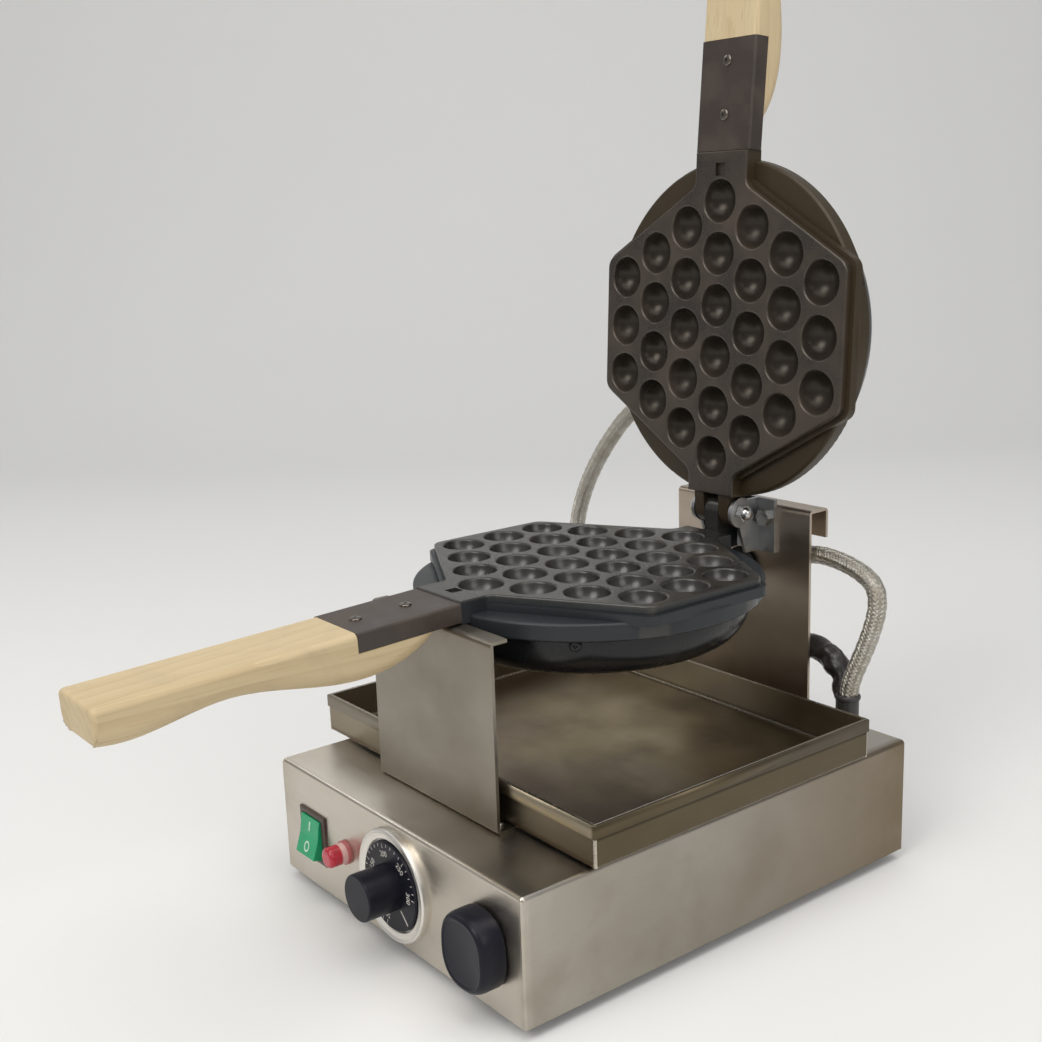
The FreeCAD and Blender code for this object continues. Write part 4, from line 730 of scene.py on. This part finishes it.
def cupTree(mat):
    tree, given = startTree("cupField", Int="columns longest", Float="pitch face")
    count = times(tree, given["columns"], given["longest"])
    spots = geo(tree, "Points", {"Count": count})
    index = geo(tree, "InputIndex")
    column = mathNode(tree, "FLOOR", mathNode(tree, "DIVIDE", plus(tree, index, 0.5), given["longest"]))
    row = minus(tree, index, times(tree, column, given["longest"]))
    middle = times(tree, minus(tree, given["columns"], 1.0), 0.5)
    aside = minus(tree, column, middle)
    most = minus(tree, given["longest"], 1.0)
    last = minus(tree, most, mathNode(tree, "ABSOLUTE", aside))
    x = times(tree, times(tree, aside, given["pitch"]), math.sqrt(3) / 2)
    ahead = minus(tree, row, times(tree, last, 0.5))
    y = times(tree, ahead, given["pitch"])
    place = addNode(tree, "ShaderNodeCombineXYZ", {"X": x, "Y": y, "Z": given["face"]}).outputs[0]
    spare = mathNode(tree, "GREATER_THAN", row, plus(tree, last, 0.5))
    spots = geo(tree, "StoreNamedAttribute", {"Geometry": spots, "Name": "spare", "Value": spare},
                data_type="FLOAT", domain="POINT")
    spots = geo(tree, "SetPosition", {"Geometry": spots, "Position": place})
    marked = geo(tree, "InputNamedAttribute", {"Name": "spare"}, data_type="FLOAT")
    spots = geo(tree, "DeleteGeometry", {
        "Geometry": spots, "Selection": mathNode(tree, "GREATER_THAN", marked, 0.5)}, domain="POINT")
    endTree(tree, geo(tree, "InstanceOnPoints", {"Points": spots, "Instance": given["Geometry"]}), mat)
    return tree


def openLoops(shell, level):
    after = {}
    for edge in shell.edges:
        if edge.is_boundary and all(abs(vertex.co.z - level) < flushGap for vertex in edge.verts):
            for one, two in (edge.verts, reversed(edge.verts)):
                after.setdefault(one, []).append(two)
    loops, seen = [], set()
    for first in after:
        if first in seen:
            continue
        loop, here = [], first
        while here is not None:
            loop.append(here)
            seen.add(here)
            here = next((vertex for vertex in after[here] if vertex not in seen), None)
        loops.append(loop)
    return sorted(loops, key=len, reverse=True)


def cupCentres(settings):
    half = settings["columns"] // 2
    for aside in range(-half, half + 1):
        count = settings["longest"] - abs(aside)
        for row in range(count):
            yield Vector((aside * settings["pitch"] * math.sqrt(3) / 2, (row - (count - 1) / 2) * settings["pitch"],
                          settings["face"] + settings["ball"] - settings["depth"]))


def buildPlate(name, mat, settings):
    face, stand, sides = settings["face"], stands[name], settings["sides"]
    profile = cupProfile(settings)
    cups = growMesh(cupTree(mat), name + "Cups", lathe("cupSeed", profile, sides), settings)
    shell = bmesh.new()
    shell.from_mesh(nodes[name + "_plate"].data)
    shell.transform(stand.inverted())
    bmesh.ops.remove_doubles(shell, verts=shell.verts, dist=weldGap)
    centres = list(cupCentres(settings))

    def onBall(spot, centre):
        return abs((spot - centre).length - settings["ball"]) < settings["ballGap"] and spot.z < face + flushGap

    gone = []
    for polygon in shell.faces:
        spots = [vertex.co for vertex in polygon.verts]
        if all(abs(spot.z - face) < flushGap for spot in spots):
            gone.append(polygon)
        elif any(all(onBall(spot, centre) for spot in spots) for centre in centres):
            gone.append(polygon)
    bmesh.ops.delete(shell, geom=gone, context="FACES")
    loops = openLoops(shell, face)
    rims = [[shell.verts.new((centre.x + x, centre.y + y, face)) for x, y in circle(profile[0][0], sides)]
            for centre in centres]
    outer = max(loops, key=lambda loop: max(vertex.co.xy.length for vertex in loop))
    fillFlat(shell, outer, [loop for loop in loops if loop is not outer] + rims)
    shell.from_mesh(cups)
    bpy.data.meshes.remove(cups)
    bmesh.ops.remove_doubles(shell, verts=shell.verts, dist=settings["seamGap"])
    bmesh.ops.recalc_face_normals(shell, faces=shell.faces)
    loose = sum(not edge.is_manifold for edge in shell.edges)
    shell.transform(stand)
    mesh = shadeMesh(plainMesh(name + "CupPlate", shell), settings["sharp"])
    piece = makePiece(name + "CupPlate", mesh, mat)
    piece.modifiers.new("evenShade", "WEIGHTED_NORMAL").keep_sharp = True
    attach(piece, rides[name])
    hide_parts(name + "_plate")
    print(name, "plate,", len(mesh.polygons), "faces,", len(loops), "loops,", loose, "open edges")


buildPlate("lower", lowerCoat, plateSettings)
buildPlate("upper", upperCoat, plateSettings)


# Wooden grips: the CAD grips with the butt end rounded off

gripSettings = {
    "end": -0.328, "endGap": 2e-5, "round": 0.0031, "steps": 5, "sharp": 35, "hinge": (0, -0.1134, 0.2075), "tilt": 2.2}


def gripStand(name, settings):
    hinge = Vector(settings["hinge"])
    tilt = Matrix.Rotation(math.radians(settings["tilt"]), 4, "X")
    return stands[name] @ Matrix.Translation(hinge) @ tilt @ Matrix.Translation(-hinge)


def buildGrip(name, mat, settings):
    stand = gripStand(name, settings)
    shell = bmesh.new()
    shell.from_mesh(nodes[name + "_grip"].data)
    shell.transform(stand.inverted())
    bmesh.ops.remove_doubles(shell, verts=shell.verts, dist=weldGap)
    butt = [polygon for polygon in shell.faces
            if all(abs(vertex.co.y - settings["end"]) < settings["endGap"] for vertex in polygon.verts)]
    inner = set(butt)
    edges = [edge for polygon in butt for edge in polygon.edges
             if any(other not in inner for other in edge.link_faces)]
    bmesh.ops.dissolve_faces(shell, faces=butt)
    bmesh.ops.bevel(shell, geom=edges, offset=settings["round"], offset_type="OFFSET", segments=settings["steps"],
                    profile=0.5, affect="EDGES", clamp_overlap=False)
    bmesh.ops.triangulate(shell, faces=[polygon for polygon in shell.faces if len(polygon.verts) > 4])
    bmesh.ops.recalc_face_normals(shell, faces=shell.faces)
    low = min(vertex.co.y for vertex in shell.verts)
    shell.transform(stand)
    mesh = shadeMesh(plainMesh(name + "WoodGrip", shell), settings["sharp"])
    piece = makePiece(name + "WoodGrip", mesh, mat)
    piece.modifiers.new("evenShade", "WEIGHTED_NORMAL").keep_sharp = True
    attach(piece, rides[name])
    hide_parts(name + "_grip")
    print(name, "grip,", len(butt), "butt faces,", len(edges), "butt edges, end", round(low, 5))


buildGrip("lower", lowerWood, gripSettings)
buildGrip("upper", upperWood, gripSettings)


# Folded rim of the drip tray: a bright bead along its top edge, its corners and the foot of its walls, brighter than
# the tray's steel as painted highlight

rimBeadSettings = {
    "low": (-0.141, -0.11055), "high": (0.130, 0.11295), "top": 0.1095, "bottom": 0.0850, "inset": 0.0014,
    "bead": 0.0010, "corner": 0.0013, "around": 10, "bend": 0.0017, "bendInset": 0.0018, "bendHigh": 0.0861,
    "hemProud": 0.0003, "hemSunk": -0.0004, "hemDeep": 0.0085, "hemEdge": 0.0005, "hemRight": 0.00002, "hemSharp": 60}
rodSharp = 40


def sweptRod(name, points, radius, around, closed, mat):
    curve, spline = pointCurve(name, "POLY", points)
    curve.bevel_depth = radius
    curve.bevel_resolution = around // 4
    curve.use_fill_caps = not closed
    spline.use_cyclic_u = closed
    mesh = meshOf(hold(name, curve))
    mesh.materials.clear()
    mesh.materials.append(mat)
    return shadeMesh(mesh, rodSharp)


def hemStrip(settings):
    # the folded strip round the outside of the walls, level with the right one, where the part's box ends
    proud, sunk, deep, edge = (settings["hem" + key] for key in ("Proud", "Sunk", "Deep", "Edge"))
    section = [(sunk, 0), (proud, -edge), (proud, edge - deep), (sunk, -deep)]
    (x0, y0), (x1, y1) = settings["low"], settings["high"]
    corners, faces = [], []
    for out, drop in section:
        right = x1 + min(out, settings["hemRight"])
        for x, y in ((x0 - out, y0 - out), (right, y0 - out), (right, y1 + out), (x0 - out, y1 + out)):
            corners.append((x, y, settings["top"] + drop))
    for level in range(len(section) - 1):
        for k in range(4):
            here, after = 4 * level + k, 4 * level + (k + 1) % 4
            faces.append((here, here + 4, after + 4, after))
    mesh = bpy.data.meshes.new("trayHem")
    mesh.from_pydata(corners, [], faces)
    mesh.materials.append(shadedTraySteel)
    return shadeMesh(mesh, settings["hemSharp"])


def buildTrayRim(settings):
    inset, around = settings["inset"], settings["around"]
    (x0, y0), (x1, y1) = settings["low"], settings["high"]

    def boxed(gap):
        return [(x0 + gap, y0 + gap), (x1 - gap, y0 + gap), (x1 - gap, y1 - gap), (x0 + gap, y1 - gap)]

    loop = [(x, y, settings["top"] - inset * 0.5) for x, y in boxed(inset)]
    foot = [(x, y, settings["bendHigh"]) for x, y in boxed(settings["bendInset"])]
    layers = [sweptRod("trayEdge", loop, settings["bead"], around, True, highlightRimSteel),
              sweptRod("trayBend", foot, settings["bend"], around, True, highlightRimSteel)]
    for x, y in boxed(inset):
        upright = [(x, y, settings["bottom"]), (x, y, settings["top"] - inset)]
        layers.append(sweptRod("trayCorner", upright, settings["corner"], around, False, highlightRimSteel))
    layers.append(hemStrip(settings))
    piece = joinMeshes("trayRim", layers)
    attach(piece, "tray")


# a brighter copy of the tray's steel: painted highlight on the beads
highlightRimSteel = brightSteel("highlightRimSteel", (0.56, 0.51, 0.43))
buildTrayRim(rimBeadSettings)
print("grips rounded, tray rim set")


# Ground weld down the front corners of the base

seamSettings = {
    "corners": [(0.125, -0.156), (-0.125, -0.156)], "inset": 0.0013, "low": 0.0080, "high": 0.0800, "radius": 0.0015,
    "around": 16}


def buildSeams(settings):
    layers = []
    for x, y in settings["corners"]:
        across, depth = x - math.copysign(settings["inset"], x), y + settings["inset"]
        upright = [(across, depth, settings["low"]), (across, depth, settings["high"])]
        layers.append(sweptRod("cornerSeam", upright, settings["radius"], settings["around"], False, caseSteel))
    piece = joinMeshes("cornerSeams", layers)
    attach(piece, "base")


buildSeams(seamSettings)
print("corner seams set")


# Timer knob: one upright rounded grip with a shallow dish in its face

timerSettings = {
    "centre": (0.093, -0.156, 0.0437), "half": (0.0197, 0.0220), "power": 2.5, "sides": 96, "sharp": 40,
    "rings": [(0.955, 0.0009), (0.985, 0.0014), (1.0, 0.0024), (1.0, 0.0105), (0.992, 0.0128), (0.970, 0.0147),
              (0.935, 0.0160), (0.895, 0.0167), (0.860, 0.0169), (0.835, 0.0168), (0.815, 0.0165), (0.780, 0.0163)]}


def buildTimerKnob(settings):
    (x, y, z), (wide, tall) = settings["centre"], settings["half"]
    sides, bend = settings["sides"], 2 / settings["power"]
    outline = [(math.copysign(abs(across) ** bend, across) * wide, math.copysign(abs(up) ** bend, up) * tall)
               for across, up in circle(1, sides)]
    knob = bmesh.new()
    rings = [[knob.verts.new((x + scale * across, y - depth, z + scale * up)) for across, up in outline]
             for scale, depth in settings["rings"]]
    for one, two in zip(rings, rings[1:]):
        for k in range(sides):
            after = (k + 1) % sides
            knob.faces.new((one[k], one[after], two[after], two[k]))
    knob.faces.new(rings[0])
    knob.faces.new(rings[-1])
    bmesh.ops.recalc_face_normals(knob, faces=knob.faces)
    piece = makePiece("timerKnob", shadeMesh(plainMesh("timerKnob", knob), settings["sharp"]), knobBlack)
    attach(piece, "timer_dial")
    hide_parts("timer_knob")


buildTimerKnob(timerSettings)
print("timer knob set")


# Turned rings: the dial's flat bezel, and the grommet where the lower hose passes the rear support

bezelSettings = {
    "centre": (0.005, -0.156, 0.0437), "sides": 120, "sharp": 30,
    "profile": [(0.0058, 0.0), (0.0058, 0.0012), (0.0276, 0.0012), (0.0277, 0.0024), (0.0281, 0.0028),
                (0.0315, 0.0031), (0.0318, 0.0033), (0.0322, 0.0038), (0.0327, 0.0040), (0.0333, 0.0038),
                (0.0338, 0.0033), (0.0340, 0.0026), (0.0340, 0.0)]}

grommetSettings = {
    "centre": (0.0015, 0.137, 0.1778), "sides": 72, "sharp": 35,
    "profile": [(0.0060, -0.0026), (0.0066, -0.0032), (0.0118, -0.0024), (0.0138, -0.0016), (0.0141, -0.0010),
                (0.0112, -0.0010), (0.0104, 0.0010), (0.0141, 0.0010), (0.0138, 0.0016), (0.0118, 0.0024),
                (0.0066, 0.0032), (0.0060, 0.0026)]}


def buildRing(name, mat, settings):
    profile = settings["profile"]
    mesh = cleanMesh(lathe(name, profile + profile[:1], settings["sides"]), weldGap)
    mesh.transform(Matrix.Translation(settings["centre"]) @ Matrix.Rotation(math.pi / 2, 4, "X"))
    piece = makePiece(name, shadeMesh(mesh, settings["sharp"]), mat)
    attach(piece, "base")
    return piece


bezel = buildRing("dialBezel", bezelSteel, bezelSettings)
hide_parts("thermostat_bezel")
grommet = buildRing("hoseGrommet", footRubber, grommetSettings)
print("bezel and grommet set")


# Screw and rivet heads

screwSettings = {
    "pan": {"radius": 0.0035, "height": 0.0022, "flat": 0.56, "arm": 0.40, "slot": 0.10, "deep": 0.62},
    "flatPan": {"radius": 0.0035, "height": 0.0020, "flat": 0.60, "arm": 0.42, "slot": 0.10, "deep": 0.60},
    "dome": {"radius": 0.0036, "height": 0.0012, "flat": 0.45, "arm": 0.34, "slot": 0.10, "deep": 0.70},
    "supportSpots": [(0.052, -0.115, 0.0842), (-0.052, -0.115, 0.0842), (0.052, 0.1295, 0.0842),
                     (-0.052, 0.1295, 0.0842)],
    "coverReach": 0.1002, "coverLevel": 0.1845, "coverTurns": (45, 135, 225, 315),
    "gripSpots": [(0, -0.1356, 0.2075), (0, -0.1686, 0.2075)],
    "supportSpin": (0.5, 0.7), "coverSpin": (0.4, 0.9), "gripSpin": (0.3, 0.5)}
headSettings = {"sides": 28, "steps": 5, "brim": 0.3, "taper": 0.8, "sharp": 40}


def crossHead(name, look):
    radius, height = look["radius"], look["height"]
    brim, taper, steps = headSettings["brim"], headSettings["taper"], headSettings["steps"]
    shell = bmesh.new()

    def ring(reach, level):
        return [shell.verts.new((x, y, level)) for x, y in circle(reach, headSettings["sides"])]

    def cross(arm, half, level):
        quarter = ((arm, -half), (arm, half), (half, half))
        return [shell.verts.new((x * c - y * s, x * s + y * c, level))
                for c, s in ((1, 0), (0, 1), (-1, 0), (0, -1)) for x, y in quarter]

    def wall(one, two):
        for k in range(len(one)):
            after = (k + 1) % len(one)
            shell.faces.new((one[k], one[after], two[after], two[k]))

    rings = [ring(radius, 0), ring(radius, height * brim)]
    for k in range(1, steps + 1):
        angle = math.pi / 2 * k / steps
        reach = look["flat"] + (1 - look["flat"]) * math.cos(angle)
        rings.append(ring(radius * reach, height * (brim + (1 - brim) * math.sin(angle))))
    for one, two in zip(rings, rings[1:]):
        wall(one, two)
    arm, half = radius * look["arm"], radius * look["slot"]
    mouth = cross(arm, half, height)
    floor = cross(arm * taper, half * taper, height * (1 - look["deep"]))
    fillFlat(shell, rings[-1], [mouth])
    wall(mouth, floor)
    fillFlat(shell, floor, [])
    shell.faces.new(list(reversed(rings[0])))
    bmesh.ops.recalc_face_normals(shell, faces=shell.faces)
    mesh = bpy.data.meshes.new(name)
    shell.to_mesh(mesh)
    shell.free()
    return shadeMesh(mesh, headSettings["sharp"])


def headTree(mat):
    tree, given = startTree("headRow", Object="head")
    head = addNode(tree, "GeometryNodeObjectInfo", {"Object": given["head"]}).outputs["Geometry"]
    named = geo(tree, "InputNamedAttribute", {"Name": "turn"}, data_type="FLOAT_VECTOR")
    turn = addNode(tree, "FunctionNodeEulerToRotation", {0: named}).outputs[0]
    places = {"Points": given["Geometry"], "Instance": head, "Rotation": turn}
    endTree(tree, geo(tree, "InstanceOnPoints", places), mat)
    return tree


def headRow(name, look, places, mat, body, node):
    spots = bpy.data.meshes.new(name + "Spots")
    spots.from_pydata([place.to_translation() for place in places], [], [])
    turns = spots.attributes.new("turn", "FLOAT_VECTOR", "POINT")
    for item, place in zip(turns.data, places):
        item.vector = place.to_euler()
    holder = hold(name + "Head", crossHead(name + "Head", look))
    grown = growMesh(headTree(mat), name, spots, {"head": holder})
    bpy.data.objects.remove(holder)
    piece = makePiece(name, grown, mat)
    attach(piece, body)
    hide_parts(node)
    return piece


def buildHeads(settings):
    def spun(key, k):
        first, step = settings[key]
        return Matrix.Rotation(first + step * k, 4, "Z")

    upright = [Matrix.Translation(spot) @ spun("supportSpin", k) for k, spot in enumerate(settings["supportSpots"])]
    heads = headRow("supportScrewHeads", settings["pan"], upright, plated, "base", "support_screws")
    outside = Matrix.Translation((settings["coverReach"], 0, settings["coverLevel"]))
    outside = outside @ Matrix.Rotation(math.pi / 2, 4, "Y")
    for name, stand in stands.items():
        around = [stand @ Matrix.Rotation(math.radians(degrees), 4, "Z") @ outside @ spun("coverSpin", k)
                  for k, degrees in enumerate(settings["coverTurns"])]
        heads = headRow(name + "CoverScrewHeads", settings["flatPan"], around, coverCoat, rides[name],
                        name + "_cover_screws")
        along = [gripStand(name, gripSettings) @ Matrix.Translation(spot) @ spun("gripSpin", k)
                 for k, spot in enumerate(settings["gripSpots"])]
        heads = headRow(name + "GripScrewHeads", settings["dome"], along, dullSteel, rides[name],
                        name + "_handle_screws")


buildHeads(screwSettings)
print("screw heads set")


# Marks on the thermostat dial

dialSettings = {
    "centre": (0.005, -0.16000, 0.0437), "numbers": ("50", "100", "150", "200", "250", "300"), "firstTurn": -170,
    "step": 52, "numberReach": 0.0192, "numberSize": 0.0050, "raise": 0.00012, "minorPer": 5,
    "longTick": (0.0228, 0.0256, 0.00032), "shortTick": (0.0238, 0.0256, 0.00022), "line": (0.0155, 0.0250, 0.0004),
    "lineTurn": 135}


def tickTree(mat):
    tree, given = startTree("dialTicks", Int="count", Float="first step")
    spots = geo(tree, "Points", {"Count": given["count"]})
    steps = times(tree, geo(tree, "InputIndex"), given["step"])
    angle = addNode(tree, "ShaderNodeCombineXYZ", {"Y": plus(tree, given["first"], steps)}).outputs[0]
    turn = addNode(tree, "FunctionNodeEulerToRotation", {0: angle}).outputs[0]
    places = {"Points": spots, "Instance": given["Geometry"], "Rotation": turn}
    endTree(tree, geo(tree, "InstanceOnPoints", places), mat)
    return tree


def bladeMesh(name, inner, outer, half, thick):
    # a small bar on the dial's face, standing up from its centre
    shell = bmesh.new()
    bmesh.ops.create_cube(shell, size=1.0)
    for vertex in shell.verts:
        x, y, z = vertex.co
        vertex.co = (x * 2 * half, (y - 0.5) * thick, inner + (z + 0.5) * (outer - inner))
    mesh = bpy.data.meshes.new(name)
    shell.to_mesh(mesh)
    shell.free()
    return mesh


def numberMesh(word, size, thick):
    curve = bpy.data.curves.new("number" + word, "FONT")
    curve.body = word
    curve.size = size
    curve.align_x = "CENTER"
    curve.align_y = "CENTER"
    curve.extrude = thick / 2
    curve.resolution_u = 3
    return meshOf(hold("number" + word, curve))


def buildDial(settings):
    thick, step = settings["raise"], math.radians(settings["step"])
    first, count = math.radians(settings["firstTurn"]), len(settings["numbers"])
    ticks = tickTree(markPale)
    minor = settings["minorPer"]
    layers = []
    for key, many, start, gap in (("longTick", count, first, step),
                                  ("shortTick", (count - 1) * minor + 1, first, step / minor),
                                  ("line", 1, math.radians(settings["lineTurn"]), 0.0)):
        blade = bladeMesh(key, *settings[key], thick)
        layers.append(growMesh(ticks, key + "s", blade, {"count": many, "first": start, "step": gap}))
    upright = Matrix.Rotation(math.pi / 2, 4, "X")
    out = Matrix.Translation((0, -thick / 2, settings["numberReach"]))
    for k, word in enumerate(settings["numbers"]):
        mesh = numberMesh(word, settings["numberSize"], thick)
        mesh.transform(Matrix.Rotation(first + k * step, 4, "Y") @ out @ upright)
        mesh.materials.clear()
        mesh.materials.append(markPale)
        layers.append(mesh)
    piece = joinMeshes("dialMarks", layers)
    piece.data.transform(Matrix.Translation(settings["centre"]))
    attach(piece, "thermostat_dial")


buildDial(dialSettings)
print("dial marked")


# Marks on the rocker

rockerSettings = {
    "pivot": (-0.0875, -0.157, 0.0412), "rest": -13, "slope": 4.6, "reach": 0.0065, "front": 0.00412, "raise": 0.00015,
    "bar": (0.0007, 0.0030), "ring": (0.0019, 0.0028), "tall": 1.25, "sides": 32}


def buildRockerMarks(settings):
    thick = settings["raise"]
    half, tall = settings["bar"]
    bar = bladeMesh("rockerBar", -tall, tall, half, thick)
    inner, outer = settings["ring"]
    ring = lathe("rockerRing", [(inner, 0), (outer, 0), (outer, thick), (inner, thick), (inner, 0)], settings["sides"])
    ring.transform(Matrix.Diagonal((1, settings["tall"], 1, 1)))
    ring.transform(Matrix.Rotation(math.pi / 2, 4, "X"))
    turned = Matrix.Translation(settings["pivot"]) @ Matrix.Rotation(math.radians(settings["rest"]), 4, "X")
    layers = []
    for mesh, side in ((bar, 1), (ring, -1)):
        lean = Matrix.Rotation(math.radians(side * settings["slope"]), 4, "X")
        mesh.transform(turned @ Matrix.Translation((0, -settings["front"], side * settings["reach"])) @ lean)
        mesh.materials.append(markGreen)
        layers.append(cleanMesh(mesh, markGap))
    piece = joinMeshes("rockerMarks", layers)
    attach(piece, "rocker")


buildRockerMarks(rockerSettings)
print("rocker marked")


# Dark wrap on the end of the upper hose, and the rims of the two glands

wrapSettings = {
    "radius": 0.0071, "lump": 0.0110, "from": 0.815, "to": 0.979, "step": 0.0014, "around": 28, "lumpScale": 70.0,
    "lumpMiddle": 0.42}

rimSettings = {
    "spots": [(0.0988, 0.1315, 0.1108), (0.086, 0.1462, 0.1042)], "sides": 40, "sharp": 50,
    "profile": [(0.0063, -0.0012), (0.0076, -0.0012), (0.0080, -0.0004), (0.0080, 0.0010), (0.0075, 0.0019),
                (0.0066, 0.0021), (0.0062, 0.0016), (0.0063, -0.0012)]}


def wrapTree(mat):
    tree, given = startTree("hoseWrap", Int="around", Float="radius lump from to step lumpScale lumpMiddle")
    line = geo(tree, "MeshToCurve", {0: given["Geometry"]})
    line = geo(tree, "TrimCurve", {0: line, 2: given["from"], 3: given["to"]}, mode="FACTOR")
    tube = tubeAlong(tree, line, given["step"], given["around"], given["radius"])
    lumps = noise(tree, geo(tree, "InputPosition"), given["lumpScale"], 2.0, 0.5, 0.3)
    rise = times(tree, minus(tree, lumps, given["lumpMiddle"]), given["lump"])
    tube = geo(tree, "SetPosition", {"Geometry": tube, "Offset": scaled(tree, geo(tree, "InputNormal"), rise)})
    endTree(tree, geo(tree, "SetShadeSmooth", {"Geometry": tube}), mat)
    return tree


def buildWrap(settings, rims):
    mesh = growMesh(wrapTree(wrapDark), "upperHoseWrap", hoseLine("wrap", hoseRoutes["upper"]), settings)
    piece = makePiece("upperHoseWrap", mesh, wrapDark)
    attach(piece, "base")
    layers = []
    for spot in rims["spots"]:
        rim = lathe("glandRim", rims["profile"], rims["sides"])
        rim.transform(Matrix.Translation(spot))
        rim.materials.append(glandDark)
        layers.append(shadeMesh(rim, rims["sharp"]))
    collars = joinMeshes("glandRims", layers)
    cleanMesh(collars.data, markGap)
    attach(collars, "base")


wrapDark = mouldedPlastic("wrapDark", (0.018, 0.016, 0.015), (0.050, 0.041, 0.034), 0.30)
buildWrap(wrapSettings, rimSettings)
print("hose wrap and gland rims set")


# Stage and light

stageSettings = {
    "floorTone": (0.80, 0.80, 0.79), "halfWidth": 9.0, "frontEnd": -12.0, "backStart": 1.5, "backRise": 5.0,
    "backRound": 0.9, "backSteps": 12, "worldTone": (0.86, 0.87, 0.90), "worldStrength": 0.42}

lampSettings = {
    "key": {"place": (0.35, -1.9, 1.9), "aim": (0, 0, 0.25), "size": 1.4, "power": 25, "tone": (1.0, 0.975, 0.94)},
    "side": {"place": (2.1, 0.1, 1.3), "aim": (0, 0, 0.22), "size": 1.3, "power": 10, "tone": (1.0, 0.97, 0.93)},
    "top": {"place": (0.45, -0.15, 2.2), "aim": (0, 0, 0.2), "size": 2.4, "power": 27, "tone": (1.0, 0.985, 0.96)},
    "edge": {"place": (-1.55, -0.75, 1.45), "aim": (0, 0, 0.1), "size": 0.6, "power": 2.2, "tone": (1.0, 0.98, 0.95)}}


def plainStageMaterial(tone):
    mat, tree, shader = startMaterial("paleStage", 0.9, 0.0, Specular_IOR_Level=0.1)
    cloud = span(tree, noise(tree, objectCoords(tree), 1.2, 2), 0.0, 1.0, 0.3, 0.7)
    feed(shader, Base_Color=blendColours(tree, cloud, tone, tuple(c * 0.985 for c in tone)))
    return mat


def buildStage(settings):
    half, start, rise, turn = (settings[key] for key in ("halfWidth", "backStart", "backRise", "backRound"))
    steps = settings["backSteps"]
    profile = [(settings["frontEnd"], 0.0), (start, 0.0)]
    profile += [(start + turn * math.sin(a), turn - turn * math.cos(a))
                for a in (math.radians(90 * k / steps) for k in range(1, steps + 1))]
    profile.append((start + turn, rise))
    across = Vector(cameraSettings["right"][:2]).normalized()  # level line of the camera
    away = Vector((-across.y, across.x))
    mesh = bpy.data.meshes.new("paleSweep")
    corners = []
    for depth, height in profile:
        for side in (-half, half):
            spot = away * depth + across * side
            corners.append((spot.x, spot.y, height))
    faces = [(2 * k, 2 * k + 1, 2 * k + 3, 2 * k + 2) for k in range(len(profile) - 1)]
    mesh.from_pydata(corners, [], faces)
    for polygon in mesh.polygons:
        polygon.use_smooth = True
    sweep = makePiece("paleSweep", mesh, plainStageMaterial(settings["floorTone"]))
    world = bpy.data.worlds.new("softRoom")
    scene.world = world
    world.use_nodes = True
    back = world.node_tree.nodes["Background"]
    back.inputs["Color"].default_value = (*settings["worldTone"], 1)
    back.inputs["Strength"].default_value = settings["worldStrength"]


def buildLamps(lamps):
    for name, lamp in lamps.items():
        data = bpy.data.lights.new(name + "Lamp", "AREA")
        data.shape = "DISK"
        data.size = lamp["size"]
        data.energy = lamp["power"]
        data.color = lamp["tone"]
        holder = hold(name + "Lamp", data)
        holder.location = lamp["place"]
        holder.rotation_euler = (Vector(lamp["aim"]) - Vector(lamp["place"])).to_track_quat("-Z", "Y").to_euler()


buildStage(stageSettings)
buildLamps(lampSettings)
print("stage and lamps set")
